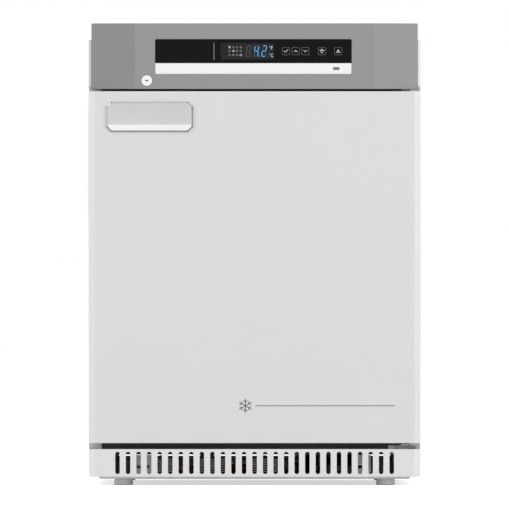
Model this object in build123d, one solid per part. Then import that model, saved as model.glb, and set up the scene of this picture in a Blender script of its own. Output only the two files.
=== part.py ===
from build123d import *
import os
from math import cos, radians

# Undercounter laboratory cold cabinet with a front-breathing condensing unit.
# Millimetres, Z up from the floor, X to the right seen from the front, Y to the back.
# The origin is on the floor below the middle of the cabinet, and the door faces -Y.

# Overall size
cabinet_width = 600.0
cabinet_depth = 640.0
total_height = 835.0

# Heights of the front, from the floor up
foot_height = 11.2
tray_lip = 4.3
grille_height = 49.9
bottom_gap = 11.0
top_gap = 4.2
fascia_height = 118.6
worktop_thickness = 30.0
worktop_bevel = 1.0

# Bevel down both upright edges of the door and the kick grille
bevel_width = 11.4
bevel_depth = 8.0

# Cabinet walls
sheet = 1.0
liner_wall = 2.5
side_foam = 44.0
floor_foam = 44.0
back_foam = 49.5
ceiling_foam = 63.5
step_foam = 44.0
floor_clearance = 55.0
liner_radius = 16.0
panel_flange = 20.0

# Machine compartment in the lower back
machine_depth = 184.0
machine_height = 224.5
rear_cover_thickness = 1.5
louvre_rows = 9
louvre_columns = 3
louvre_height = 7.0
louvre_web = 26.0
louvre_pitch = 20.0
louvre_margin = 36.0

# Door
door_pan_depth = 46.0
door_sheet = 1.0
ridge_rise = 20.0
ridge_width = 42.0
ridge_margin = 13.0
ridge_taper = 8.0
ridge_radius = 22.0
ridge_edge_round = 4.0

# Door gasket
gasket_depth = 12.0
gasket_width = 16.0
gasket_inset = 9.8
gasket_lip = 2.4
gasket_waist = 7.0
seal_clearance = 0.3

# Grip moulding in the left edge of the door
grip_height = 199.0
grip_top_drop = 27.3
grip_width = 32.0
grip_proud = 1.3
grip_front_inset = 11.0
grip_wall = 2.0
grip_cup_height = 171.0
grip_cup_width = 21.0
grip_cup_depth = 24.0
grip_hook = 3.0
grip_lip = 4.0
grip_throat = 8.0
grip_cup_round = 4.0
grip_corner = 7.0
grip_edge_round = 0.8
grip_clearance = 0.3

# Hinges on the right
hinge_inset = 13.0
hinge_setback = 23.0
pin_radius = 5.0
pin_clearance = 0.05
pin_depth_in_door = 18.0
bush_radius = 8.0
bush_flange_radius = 11.0
bush_bottom = 3.0
bracket_plate = 3.0
bracket_width = 56.0
bracket_leg_height = 24.0
bracket_nose_radius = 11.0
bracket_shoulder = 22.0
bracket_air = 0.6
screw_hole_radius = 2.6
screw_hole_pitch = 30.0
screw_hole_inset = 6.0

# Kick grille
grille_wall = 2.5
grille_flange = 12.0
slot_count = 27
slot_margin = 52.22
slot_width = 8.2
slot_length = 40.4
slot_base = 4.8

# Control fascia
fascia_end_inset = 5.0
fascia_wall = 2.5
wing_width = 79.0
wing_setback = 12.0
fascia_floor_depth = 52.0
fascia_top_depth = 40.0
cheek_radius = 9.0
cheek_gap = 0.2
cheek_bottom_gap = 1.6
cheek_setback = 3.0

# Control insert
insert_width = 355.0
insert_height = 62.8
insert_top_drop = 28.8
insert_offset = -2.2
insert_corner = 2.6
insert_thickness = 5.0
insert_recess = 0.6
insert_fit = 0.25
strip_height = 19.5
usb_width = 11.2
usb_height = 5.0
usb_offset = 147.6
usb_depth = 14.0
usb_wall = 0.6
tongue_width = 7.6
tongue_thickness = 1.4
board_thickness = 1.6
board_height = 38.0
board_width = 330.0
board_gap = 6.0
post_radius = 3.0
post_inset = 6.0
display_block_offset = -27.5
display_block_width = 55.0
display_block_height = 23.0
buzzer_offset = 82.5
buzzer_radius = 6.0
buzzer_mouth = 1.0
buzzer_depth = 9.0

# Key lock
lock_end_inset = 105.2
lock_rise = 15.1
lock_face_radius = 9.5
lock_face_thickness = 2.2
lock_face_round = 0.6
barrel_radius = 7.9
barrel_depth = 24.0
plug_radius = 5.5
plug_clearance = 0.05
barrel_fit = 0.1
key_slot_width = 5.2
key_slot_height = 2.2
key_slot_depth = 12.0
lock_nut_flats = 22.0
lock_nut_depth = 5.0
cam_length = 31.0
cam_width = 13.0
cam_thickness = 2.5
cam_gap = 0.4
cam_screw_radius = 4.0
cam_screw_depth = 2.5
keeper_depth = 16.0
keeper_wall = 2.0
keeper_play = 2.0
door_hole_fit = 0.1

# Base tray and feet
tray_side_inset = 18.5
tray_sheet = 1.5
tray_upstand = 24.0
tray_front_rise = 8.6
tray_front_inset = 20.0
tray_back_inset = 4.0
tray_corner = 10.0
tray_edge_round = 4.0
foot_radius = 17.2
foot_side_inset = 62.8
foot_front_inset = 50.0
foot_back_inset = 40.0
foot_flutes = 5
flute_radius = 2.2
foot_taper = 0.8
foot_edge_round = 1.6
stem_radius = 5.0
stem_clearance = 0.05
stem_rise = 22.0
foot_air = 0.3
foot_nut_flats = 18.0
foot_nut_height = 9.0

# Condensing unit
fin_pack_widths = (44.0, 62.0, 58.0)
fin_pack_gap = 34.0
condenser_inset = 112.0
fin_count = 7
fin_pitch = 4.2
fin_thickness = 0.8
fin_depth = 30.0
fin_setback = 26.0
coil_radius = 2.5
coil_bend = 4.0
coil_pass_gap = 16.0
coil_fit = 0.05
guide_thickness = 1.5
guide_width = 34.0
guide_slot_width = 26.0
guide_left_inset = 97.0
guide_right_inset = 107.0
guide_slot_height = 5.0
guide_slot_rise = 18.0
guide_foot = 16.0
compressor_side_inset = 160.0
compressor_back_inset = 92.0
compressor_radius = 68.0
compressor_height = 148.0
compressor_round = 26.0
seam_radius = 71.5
seam_height = 5.0
seam_rise = 83.0
mount_plate = 3.0
mount_arm_reach = 84.0
mount_arm_width = 30.0
grommet_radius = 12.0
grommet_height = 16.0
terminal_width = 52.0
terminal_depth = 34.0
terminal_height = 62.0
terminal_overlap = 11.0
terminal_rise = 25.0
terminal_round = 3.5
tube_radius = 3.0
suction_radius = 4.0
drier_radius = 10.0
drier_length = 90.0
drier_neck = 12.0
drier_offset = 160.0
drier_setback = 46.0
port_spread = 20.0
port_sink = 8.0
discharge_rise = 37.0
suction_rise = 49.0
line_bend = 10.0
line_wall_gap = 12.0
line_run = 90.0
line_clearance = 10.0
water_tray_width = 120.0
water_tray_depth = 104.0
water_tray_height = 20.0
water_tray_wall = 2.0
water_tray_corner = 13.0
drain_radius = 7.0
drain_wall = 1.5
drain_length = 20.0
gland_radius = 11.0
gland_flange_radius = 15.0
gland_flange_depth = 2.0
gland_bore = 5.0
gland_length = 18.0
gland_side_inset = 75.0
gland_rise = 50.0

# Axial fans
fan_size = 119.0
fan_depth = 38.0
fan_bore = 56.5
fan_hub = 21.0
fan_blades = 5
fan_tip_clearance = 2.0
fan_corner = 8.0
fan_strut = 5.0
fan_side_inset = 160.0
fan_rise = 105.0
fan_screw_radius = 2.2
blade_thickness = 1.8
blade_root_pitch = 52.0
blade_tip_pitch = 28.0
blade_chord_root = 24.0
blade_chord_tip = 42.0
fan_spindle_radius = 4.0
fan_spindle_clearance = 0.05
fan_air = 1.0
hub_cap = 3.0
hub_bevel = 2.0
blade_sink = 2.0

# Inside the compartment
shelf_wire_radius = 1.75
shelf_frame_radius = 3.0
shelf_bar_radius = 2.4
shelf_bars = 2
shelf_wires = 12
shelf_side_gap = 7.5
shelf_front_gap = 22.0
shelf_back_gap = 28.0
short_shelf_back_gap = 18.5
shelf_corner = 14.0
shelf_weld = 0.5
shelf_shares = (0.1927, 0.4838, 0.7407)
rail_width = 20.0
rail_depth = 5.0
rail_wall = 1.2
rail_margin = 30.0
rail_front_inset = 74.0
rail_step_gap = 28.5
rail_slot_pitch = 25.0
rail_slot_height = 10.0
rail_slot_width = 4.0
clip_depth = 12.0
clip_height = 14.0
clip_thickness = 2.0
cover_side_gap = 52.5
cover_step_gap = 28.9
cover_depth = 58.0
cover_wall = 2.0
cover_radius = 10.0
cover_top_gap = 20.0
guard_rings = 3
guard_ring_width = 3.0
guard_spokes = 4
return_slots = 9
return_slot_width = 6.0
return_slot_height = 60.0
return_slot_margin = 56.0
return_slot_rise = 20.0
evaporator_side_gap = 35.0
evaporator_height_share = 0.507
evaporator_rise_share = 0.138
evaporator_depth = 40.0
evaporator_fins = 22
evaporator_fin = 1.2
evaporator_spine = 12.0
lamp_width = 260.0
lamp_radius = 9.0
lamp_setback = 34.0
probe_radius = 3.0
probe_length = 46.0
probe_clip = 7.0
probe_drop = 60.0
module_width = 180.0
module_depth = 110.0
module_height = 34.0
module_setback = 40.0
module_grooves = 8
module_groove_width = 10.0
module_groove_depth = 10.0
seat = 0.3

# Places worked out from the sizes
half_width = cabinet_width / 2
front_y = -cabinet_depth / 2
back_y = cabinet_depth / 2
grille_bottom = foot_height + tray_lip
grille_top = grille_bottom + grille_height
door_bottom = grille_top + bottom_gap
fascia_bottom = total_height - fascia_height
door_top = fascia_bottom - top_gap
worktop_bottom = total_height - worktop_thickness
pan_back = front_y + door_pan_depth
frame_front = pan_back + gasket_depth
frame_back = frame_front + sheet
opening_half = half_width - sheet - side_foam - liner_wall
opening_bottom = floor_clearance + sheet + floor_foam + liner_wall
step_front = back_y - machine_depth
machine_top = grille_bottom + machine_height
foam_back = back_y - sheet
liner_back = foam_back - back_foam
inner_back = liner_back - liner_wall
liner_step_front = step_front - step_foam - liner_wall
liner_step_top = machine_top + sheet + step_foam
opening_top = door_top - gasket_inset - gasket_width
foam_top = opening_top + liner_wall + ceiling_foam
slot_pitch = (cabinet_width - slot_margin * 2) / (slot_count - 1)
louvre_column_pitch = (cabinet_width - louvre_margin * 2) / louvre_columns
louvre_width = louvre_column_pitch - louvre_web
hinge_x = half_width - hinge_inset
hinge_y = front_y + hinge_setback
tray_half_width = half_width - tray_side_inset
tray_floor = foot_height + tray_sheet
tray_front = front_y + tray_front_inset
tray_back = back_y - tray_back_inset
lock_x = lock_end_inset - half_width
lock_z = fascia_bottom + lock_rise
insert_top = total_height - insert_top_drop
insert_bottom = insert_top - insert_height
insert_split = insert_bottom + strip_height
insert_front = front_y + insert_recess
insert_back = insert_front + insert_thickness
cam_front = front_y + barrel_depth + cam_gap
cam_back = cam_front + cam_thickness
grip_top = door_top - grip_top_drop
grip_middle = grip_top - grip_height / 2
grip_y = front_y + grip_front_inset + grip_width / 2
fan_x = fan_side_inset - half_width
fan_z = grille_bottom + fan_rise
fan_back = back_y - rear_cover_thickness - seat
compressor_x = half_width - compressor_side_inset
compressor_y = back_y - compressor_back_inset
compressor_base = tray_floor + grommet_height + mount_plate
drain_x = compressor_x - water_tray_width / 4
cover_top = opening_top - cover_top_gap
cover_bottom = liner_step_top + liner_wall + cover_step_gap
cover_width = (opening_half - cover_side_gap) * 2
cover_front = inner_back - cover_depth
inner_fan_z = cover_top - fan_size / 2 - cover_radius - cover_wall
inner_fan_front = cover_front + cover_wall + seat
return_slot_pitch = (cover_width - return_slot_margin * 2) / (return_slots - 1)
evaporator_width = cover_width - evaporator_side_gap * 2
evaporator_room = inner_fan_z - fan_size / 2 - cover_bottom - cover_wall
evaporator_height = evaporator_room * evaporator_height_share
evaporator_rise = evaporator_room * evaporator_rise_share
shelf_front = frame_back + shelf_front_gap
shelf_depth = cover_front - shelf_back_gap - shelf_front
short_shelf_depth = liner_step_front - short_shelf_back_gap - shelf_front
shelf_levels = [opening_bottom + share * (opening_top - opening_bottom) for share in shelf_shares]
rail_front = frame_back + rail_front_inset
rail_rear = liner_step_front - rail_step_gap
fascia_half = half_width - fascia_end_inset
insert_middle = (insert_bottom + insert_top) / 2
panel_middle = (insert_split + insert_top) / 2
usb_z = (insert_bottom + insert_split) / 2
board_front = insert_back + board_gap
cam_slot_front = cam_front - keeper_play
cam_slot_back = cam_back + keeper_play
cam_slot_left = lock_x - cam_width / 2 - keeper_play
cam_slot_right = lock_x + cam_length + keeper_play
bush_depth = pin_depth_in_door + bush_bottom
fin_front = front_y + fin_setback
fin_stack = fin_pitch * (fin_count - 1) + fin_thickness
fin_base = (tray_floor + floor_clearance - sheet - fin_stack) / 2
coil_y = fin_front + fin_depth / 2
coil_back = fin_front + fin_depth + line_clearance
line_level = tray_floor + tube_radius + seat
drier_x = compressor_x - drier_offset
drier_y = step_front + drier_setback
drier_z = tray_floor + drier_radius + seat
gland_x = half_width - gland_side_inset
gland_z = grille_bottom + gland_rise
condenser_left = condenser_inset - half_width
guide_left_x = guide_left_inset - half_width
guide_right_x = half_width - guide_right_inset

parts = {}


# Shared shapes

def slab(x_span, y_span, z_span):
    """A plain block between the low and high value on each axis."""
    spans = (x_span, y_span, z_span)
    middle = [(low + high) / 2 for low, high in spans]
    lengths = [high - low for low, high in spans]
    return Pos(*middle) * Box(*lengths)


def rise(face, low, high):
    """A plan outline in x and y, drawn up between two levels."""
    return extrude(Plane.XY.offset(low) * face, amount=high - low)


def front_plane(y):
    """A plane seen from the front: across is x and up is z."""
    return Plane(origin=(0, y, 0), x_dir=(1, 0, 0), z_dir=(0, -1, 0))


def reach(face, front, back):
    """A front outline in x and z, drawn between a front and a back face."""
    return extrude(front_plane(back) * face, amount=back - front)


def side_plane(x):
    """A plane seen from the right: across is y and up is z."""
    return Plane(origin=(x, 0, 0), x_dir=(0, 1, 0), z_dir=(1, 0, 0))


def across(face, left, right):
    """A side outline in y and z, drawn between a left and a right face."""
    return extrude(side_plane(left) * face, amount=right - left)


def outline(*points):
    """A closed straight-sided face."""
    return make_face(Polyline(*points, close=True))


def window(x, z, width, height, radius=0.0):
    """A rectangle at a place, with rounded corners where a radius is given."""
    shape = RectangleRounded(width, height, radius) if radius > 0 else Rectangle(width, height)
    return Pos(x, z) * shape


def rod(x, y, low, high, radius):
    """An upright round bar."""
    return rise(Pos(x, y) * Circle(radius), low, high)


def bar(x, z, front, back, radius):
    """A round bar that points to the front."""
    return reach(Pos(x, z) * Circle(radius), front, back)


def pipe(points, radius, bends):
    """A round tube along straight runs joined by arcs."""
    path = FilletPolyline(*points, radius=bends)
    mouth = Plane(origin=path @ 0, z_dir=path % 0)
    return sweep(mouth * Circle(radius), path=path)


def bevelled_plan(back):
    """Plan outline of the door and the kick grille: flat front, a bevel at each end."""
    bevel_back = front_y + bevel_depth
    flat = half_width - bevel_width
    return outline(
        (-half_width, back),
        (-half_width, bevel_back),
        (-flat, front_y),
        (flat, front_y),
        (half_width, bevel_back),
        (half_width, back),
    )


def bevelled_inside(back, wall):
    """The space inside bevelled_plan, open at the back."""
    return offset(bevelled_plan(back + wall), amount=-wall, kind=Kind.INTERSECTION)


def ring_of(shape, count):
    """Copies of a shape spread evenly about the Z axis."""
    return [Rot(0, 0, 360 * step / count) * shape for step in range(count)]


# Cabinet walls

def side_panel(side):
    """Steel side with its front return, top flange under the worktop and foot flange."""
    outer = half_width
    inner = half_width - sheet
    section = outline(
        (outer, back_y),
        (outer, frame_front),
        (opening_half, frame_front),
        (opening_half, frame_back),
        (inner, frame_back),
        (inner, back_y),
    )
    panel = rise(section, grille_bottom, worktop_bottom)
    panel -= slab((opening_half, inner), (frame_front, frame_back), (grille_bottom, floor_clearance))
    run = (frame_back, foam_back)
    panel += slab((inner - panel_flange, inner), run, (worktop_bottom - sheet, worktop_bottom))
    panel += slab((tray_half_width, inner), run, (grille_bottom, grille_bottom + sheet))
    return panel if side > 0 else mirror(panel, about=Plane.YZ)


def front_rail_top():
    """Sheet between the sides above the compartment, with a stiffening return."""
    level = worktop_bottom - sheet
    face = slab((-opening_half, opening_half), (frame_front, frame_back), (opening_top, level))
    back_edge = frame_back + panel_flange
    top_return = slab((-opening_half, opening_half), (frame_front, back_edge), (level, worktop_bottom))
    return face + top_return


def front_rail_bottom():
    """Sheet between the sides below the compartment, seen in the gap under the door."""
    return slab((-opening_half, opening_half), (frame_front, frame_back), (floor_clearance, opening_bottom))


def underside_pan():
    """Bent sheet under the insulation: floor, riser and roof of the machine compartment."""
    section = outline(
        (frame_back, floor_clearance),
        (step_front, floor_clearance),
        (step_front, machine_top),
        (foam_back, machine_top),
        (foam_back, machine_top + sheet),
        (step_front - sheet, machine_top + sheet),
        (step_front - sheet, floor_clearance + sheet),
        (frame_back, floor_clearance + sheet),
    )
    pan = across(section, sheet - half_width, half_width - sheet)
    return pan - rod(drain_x, compressor_y, machine_top - sheet, machine_top + sheet * 2, drain_radius)


def back_panel():
    """Flat sheet over the back, above the machine compartment."""
    return slab((sheet - half_width, half_width - sheet), (foam_back, back_y), (machine_top, worktop_bottom))


def top_pan():
    """Sheet over the insulation, the floor of the wiring space below the worktop."""
    half = half_width - sheet
    return slab((-half, half), (frame_back, foam_back), (foam_top, foam_top + sheet))


def liner_body(inset):
    """Outline of the liner with its step over the machine compartment, inset by a wall."""
    low = opening_bottom - liner_wall + inset
    high = opening_top + liner_wall - inset
    step_y = liner_step_front - inset + liner_wall
    back = liner_back - inset
    step_z = liner_step_top + inset
    half = opening_half + liner_wall - inset
    section = outline(
        (frame_back, low),
        (step_y, low),
        (step_y, step_z),
        (back, step_z),
        (back, high),
        (frame_back, high),
    )
    body = across(section, -half, half)
    rounded = body.edges().filter_by(lambda edge: edge.center().Y > frame_back + liner_wall)
    return fillet(rounded, liner_radius - inset)


def inner_liner():
    """Moulded compartment lining, open to the front."""
    return liner_body(0) - liner_body(liner_wall)


def insulation():
    """Foam between the outer sheets and the liner, one block for each wall."""
    low = floor_clearance + sheet
    roof = machine_top + sheet
    half = half_width - sheet
    side = opening_half + liner_wall
    riser_front = liner_step_front + liner_wall
    riser_back = step_front - sheet
    side_section = outline(
        (frame_back, low),
        (riser_back, low),
        (riser_back, roof),
        (foam_back, roof),
        (foam_back, foam_top),
        (frame_back, foam_top),
    )
    wall = across(side_section, side, half)
    floor_top = opening_bottom - liner_wall
    ceiling = opening_top + liner_wall
    spans = (
        ((frame_back, riser_back), (low, floor_top)),
        ((riser_front, riser_back), (floor_top, roof)),
        ((liner_back, foam_back), (liner_step_top, ceiling)),
        ((frame_back, foam_back), (ceiling, foam_top)),
    )
    blocks = [slab((-side, side), y_span, z_span) for y_span, z_span in spans]
    step = slab((-side, side), (riser_front, foam_back), (roof, liner_step_top))
    nose = step.edges().filter_by(Axis.X).group_by(Axis.Z)[-1].sort_by(Axis.Y)[0]
    step = fillet(nose, liner_radius)
    return Compound([wall, mirror(wall, about=Plane.YZ), step] + blocks)


def worktop():
    """Board on top of the cabinet, behind the fascia, with a small bevel round its top."""
    front = front_y + fascia_top_depth + seat
    board = slab((-fascia_half, fascia_half), (front, back_y), (worktop_bottom, total_height))
    rims = board.edges().group_by(Axis.Z)[-1]
    return chamfer(rims, worktop_bevel)


# Control fascia

def facet_plan(inset):
    """Plan outline of the fascia, three facets and straight ends, inset by a wall."""
    flat = fascia_half - wing_width
    corner = front_y + wing_setback
    face = outline(
        (-fascia_half, frame_front - seat + inset),
        (-fascia_half, corner),
        (-flat, front_y),
        (flat, front_y),
        (fascia_half, corner),
        (fascia_half, frame_front - seat + inset),
    )
    return offset(face, amount=-inset, kind=Kind.INTERSECTION) if inset > 0 else face


def fascia():
    """Three-facet control fascia: folded floor, top and ends, insert cut-out and lock hole."""
    far = fascia_half + sheet
    inner = fascia_half - fascia_wall
    top_back = front_y + fascia_top_depth
    floor_back = front_y + fascia_floor_depth
    floor_span = (fascia_bottom - sheet, fascia_bottom + fascia_wall)
    tray = rise(facet_plan(0), fascia_bottom, total_height)
    tray -= rise(facet_plan(fascia_wall), fascia_bottom + fascia_wall, total_height - fascia_wall)
    tray -= slab((-far, far), (top_back, frame_front), (worktop_bottom - seat, total_height + sheet))
    tray -= slab((-inner, inner), (floor_back, frame_front), floor_span)
    hole_size = (insert_width + insert_fit * 2, insert_height + insert_fit * 2)
    hole = window(insert_offset, insert_middle, *hole_size, insert_corner)
    tray -= reach(hole, front_y - sheet, front_y + fascia_wall + sheet)
    tray -= bar(lock_x, lock_z, front_y - sheet, front_y + fascia_wall + sheet, barrel_radius + barrel_fit)
    return tray - slab((cam_slot_left, cam_slot_right), (cam_slot_front, cam_slot_back), floor_span)


def fascia_cheek(side):
    """Pale end cheek that closes the cabinet side beside the fascia."""
    low = fascia_bottom + cheek_bottom_gap
    front = front_y + wing_setback + cheek_setback
    back = frame_front - cheek_gap
    middle_y = (front + back) / 2
    middle_z = (low + worktop_bottom) / 2
    plate = across(
        Pos(middle_y, middle_z) * Rectangle(back - front, worktop_bottom - low),
        fascia_half + cheek_gap,
        half_width,
    )
    lower_front = plate.edges().filter_by(Axis.X).sort_by(lambda edge: edge.center().Y + edge.center().Z)[0]
    plate = fillet(lower_front, cheek_radius)
    return plate if side > 0 else mirror(plate, about=Plane.YZ)


def insert_piece(low, high, rounded_top):
    """One of the two plates of the control insert, rounded at its outer corners only."""
    height = high - low
    plate = reach(window(insert_offset, (low + high) / 2, insert_width, height), insert_front, insert_back)
    corners = plate.edges().filter_by(Axis.Y).group_by(Axis.Z)[-1 if rounded_top else 0]
    return fillet(corners, insert_corner)


def display_panel():
    """Black upper plate of the insert, the cover of the display and the touch keys."""
    return insert_piece(insert_split, insert_top, True)


def lower_strip():
    """White lower plate of the insert with the USB cut-out."""
    strip = insert_piece(insert_bottom, insert_split, False)
    hole = window(usb_offset, usb_z, usb_width, usb_height)
    return strip - reach(hole, insert_front - sheet, insert_back + sheet)


def usb_port():
    """Metal shell of the USB port with its contact tongue."""
    front = insert_front + usb_wall
    back = insert_front + usb_depth
    outer = window(usb_offset, usb_z, usb_width - usb_wall / 2, usb_height - usb_wall / 2)
    hollow = window(usb_offset, usb_z, usb_width - usb_wall * 2, usb_height - usb_wall * 2)
    shell_body = reach(outer, front, back) - reach(hollow, front, back - usb_wall)
    tongue_z = usb_z + usb_height / 2 - usb_wall - tongue_thickness
    tongue = window(usb_offset, tongue_z, tongue_width, tongue_thickness)
    return shell_body + reach(tongue, front + usb_wall * 2, back)


def control_board():
    """Circuit board behind the insert on four posts, with the block of the display."""
    board_shape = window(insert_offset, panel_middle, board_width, board_height)
    board = reach(board_shape, board_front, board_front + board_thickness)
    half = board_width / 2 - post_inset
    up = board_height / 2 - post_inset
    for post_x in (-half, half):
        for post_z in (-up, up):
            board += bar(insert_offset + post_x, panel_middle + post_z, insert_back, board_front, post_radius)
    display = window(display_block_offset, panel_middle, display_block_width, display_block_height, sheet)
    return board + reach(display, insert_back, board_front)


def buzzer():
    """Round alarm sounder on the back of the board."""
    front = board_front + board_thickness
    back = front + buzzer_depth
    body = bar(buzzer_offset, panel_middle, front, back, buzzer_radius)
    return body - bar(buzzer_offset, panel_middle, back - buzzer_mouth, back + sheet, buzzer_mouth)


def power_module():
    """Finned controller housing in the wiring space under the worktop."""
    low = foam_top + sheet
    top = low + module_height
    front = frame_back + module_setback
    half = module_width / 2
    base = slab((-half, half), (front, front + module_depth), (low, top))
    pitch = module_width / (module_grooves + 1)
    for step in range(module_grooves):
        left = pitch * (step + 1) - half - module_groove_width / 2
        span = (left, left + module_groove_width)
        base -= slab(span, (front_y, back_y), (top - module_groove_depth, top + sheet))
    return base


# Key lock

def lock_barrel():
    """Fixed barrel: round face on the fascia, body through it, bored for the plug."""
    face = bar(lock_x, lock_z, front_y - lock_face_thickness, front_y, lock_face_radius)
    rim = face.edges().group_by(Axis.Y)[0]
    face = fillet(rim, lock_face_round)
    body = bar(lock_x, lock_z, front_y, front_y + barrel_depth, barrel_radius)
    bore = bar(lock_x, lock_z, front_y - lock_face_thickness * 2, front_y + barrel_depth + sheet,
               plug_radius + plug_clearance)
    return face + body - bore


def lock_plug():
    """Turning plug with its key slot and a squared tail for the cam."""
    front = front_y - lock_face_thickness
    body = bar(lock_x, lock_z, front, front_y + barrel_depth, plug_radius)
    tail = reach(window(lock_x, lock_z, plug_radius, plug_radius), front_y + barrel_depth, cam_back)
    key_shape = window(lock_x, lock_z, key_slot_width, key_slot_height)
    slot = reach(key_shape, front - sheet, front + key_slot_depth)
    return body + tail - slot


def lock_cam():
    """Flat cam on the plug's tail, level when open and down into the door when locked."""
    blade = cam_length - cam_width / 2
    shape = Pos(lock_x, lock_z) * Circle(cam_width / 2)
    shape += Pos(lock_x + blade / 2, lock_z) * Rectangle(blade, cam_width)
    shape += Pos(lock_x + blade, lock_z) * Circle(cam_width / 2)
    plate = reach(shape, cam_front, cam_back)
    square = reach(window(lock_x, lock_z, plug_radius, plug_radius), cam_front - sheet, cam_back + sheet)
    return plate - square


def cam_screw():
    """Screw head that holds the cam on the plug."""
    head = bar(lock_x, lock_z, cam_back, cam_back + cam_screw_depth, cam_screw_radius)
    cross = window(lock_x, lock_z, cam_screw_radius, sheet) + window(lock_x, lock_z, sheet, cam_screw_radius)
    return head - reach(cross, cam_back + cam_screw_depth / 2, cam_back + cam_screw_depth + sheet)


def lock_nut():
    """Hexagonal nut that clamps the barrel behind the fascia."""
    front = front_y + fascia_wall
    hexagon = Pos(lock_x, lock_z) * RegularPolygon(lock_nut_flats / 2, 6, major_radius=False)
    back = front + lock_nut_depth
    nut = reach(hexagon, front, back)
    return nut - bar(lock_x, lock_z, front - sheet, back + sheet, barrel_radius + barrel_fit)


def keeper_pocket(grow):
    """Outer block of the lock keeper, let into the top edge of the door."""
    margin = keeper_wall + grow
    span = (cam_slot_left - margin, cam_slot_right + margin)
    low = door_top - keeper_depth - margin
    return slab(span, (cam_slot_front - margin, cam_slot_back + margin), (low, door_top))


def lock_keeper():
    """Moulded slot in the top edge of the door that the cam drops into."""
    depth = (door_top - keeper_depth, door_top + sheet)
    return keeper_pocket(0) - slab((cam_slot_left, cam_slot_right), (cam_slot_front, cam_slot_back), depth)


# Door

def door_block(wall):
    """The space inside the door pan, or the whole door block for a wall of nothing."""
    face = bevelled_inside(pan_back, wall) if wall > 0 else bevelled_plan(pan_back)
    return rise(face, door_bottom + wall, door_top - wall)


def bush_holes(radius):
    """Round holes for the two hinge bushes."""
    low = rod(hinge_x, hinge_y, door_bottom - sheet, door_bottom + bush_depth, radius)
    high = rod(hinge_x, hinge_y, door_top - bush_depth, door_top + sheet, radius)
    return low, high


def door_pan():
    """Bent steel front of the door with bevelled upright edges."""
    pan = door_block(0) - door_block(door_sheet)
    side_hole = Pos(grip_y, grip_middle) * RectangleRounded(
        grip_cup_width + (grip_wall + grip_clearance) * 2,
        grip_cup_height + (grip_wall + grip_clearance) * 2,
        grip_corner,
    )
    pan -= across(side_hole, -half_width - sheet, door_sheet * 2 - half_width)
    for hole in bush_holes(bush_radius + door_hole_fit):
        pan -= hole
    return pan - keeper_pocket(door_hole_fit)


def ridge(inset):
    """Raised ring on the inside of the door, or the space under its skin for an inset."""
    half = opening_half - ridge_margin
    middle = (opening_top + opening_bottom) / 2
    height = opening_top - opening_bottom - ridge_margin * 2
    base = pan_back - liner_wall
    rising = ridge_rise + liner_wall - inset
    plane = Plane(origin=(0, base, middle), x_dir=(-1, 0, 0), z_dir=(0, 1, 0))
    outer = RectangleRounded(half * 2 - inset * 2, height - inset * 2, ridge_radius - inset)
    outer_block = extrude(plane * outer, amount=rising, taper=ridge_taper)
    well = RectangleRounded(
        (half - ridge_width + inset) * 2,
        height - (ridge_width - inset) * 2,
        ridge_radius / 2 + inset,
    )
    well_depth = rising + sheet
    well_block = extrude(plane * well, amount=well_depth, taper=-ridge_taper)
    ring = outer_block - well_block
    if inset > 0:
        return ring
    crest = ring.edges().group_by(Axis.Y)[-1]
    return fillet(crest, ridge_edge_round)


def door_liner():
    """Moulded inner skin of the door with the raised ring that enters the compartment."""
    skin_front = pan_back - liner_wall
    half = half_width - door_sheet
    skin = slab((-half, half), (skin_front, pan_back), (door_bottom + door_sheet, door_top - door_sheet))
    skin += ridge(0)
    skin -= ridge(liner_wall)
    for hole in bush_holes(bush_radius + seat):
        skin -= hole
    return skin


def grip_cup():
    """Outer body of the grip cup, let into the door."""
    shape = RectangleRounded(grip_cup_width + grip_wall * 2, grip_cup_height + grip_wall * 2, grip_corner)
    body = across(Pos(grip_y, grip_middle) * shape, -half_width, grip_cup_depth + grip_wall - half_width)
    return fillet(body.edges().group_by(Axis.X)[-1], grip_cup_round)


def door_grip():
    """Grip moulding: a rim that stands proud of the door edge and a cup for the fingers."""
    rim_shape = RectangleRounded(grip_width, grip_height, grip_corner)
    rim = across(Pos(grip_y, grip_middle) * rim_shape, -half_width - grip_proud, -half_width)
    rim = fillet(rim.edges().group_by(Axis.X)[0], grip_edge_round)
    half_y = grip_cup_width / 2
    mouth_x = -half_width - grip_proud - sheet
    end_x = grip_cup_depth - half_width
    hollow = outline(
        (mouth_x, grip_y - half_y + grip_hook),
        (grip_lip - half_width, grip_y - half_y + grip_hook),
        (grip_throat - half_width, grip_y - half_y),
        (end_x, grip_y - half_y),
        (end_x, grip_y + half_y - grip_hook),
        (mouth_x, grip_y + half_y),
    )
    half_z = grip_cup_height / 2
    hollow_body = rise(hollow, grip_middle - half_z, grip_middle + half_z)
    corners = hollow_body.edges().filter_by(Axis.Y).group_by(Axis.X)[-1]
    hollow_body = fillet(corners, grip_corner)
    return rim + grip_cup() - hollow_body


def door_foam():
    """Insulation inside the door, filling the pan, the ring and round the inserts."""
    core = door_block(door_sheet)
    skin_span = (pan_back - liner_wall, pan_back + sheet)
    core -= slab((-half_width, half_width), skin_span, (door_bottom, door_top))
    core += ridge(liner_wall)
    core -= grip_cup()
    core -= keeper_pocket(0)
    for hole in bush_holes(bush_radius):
        core -= hole
    return core


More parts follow.
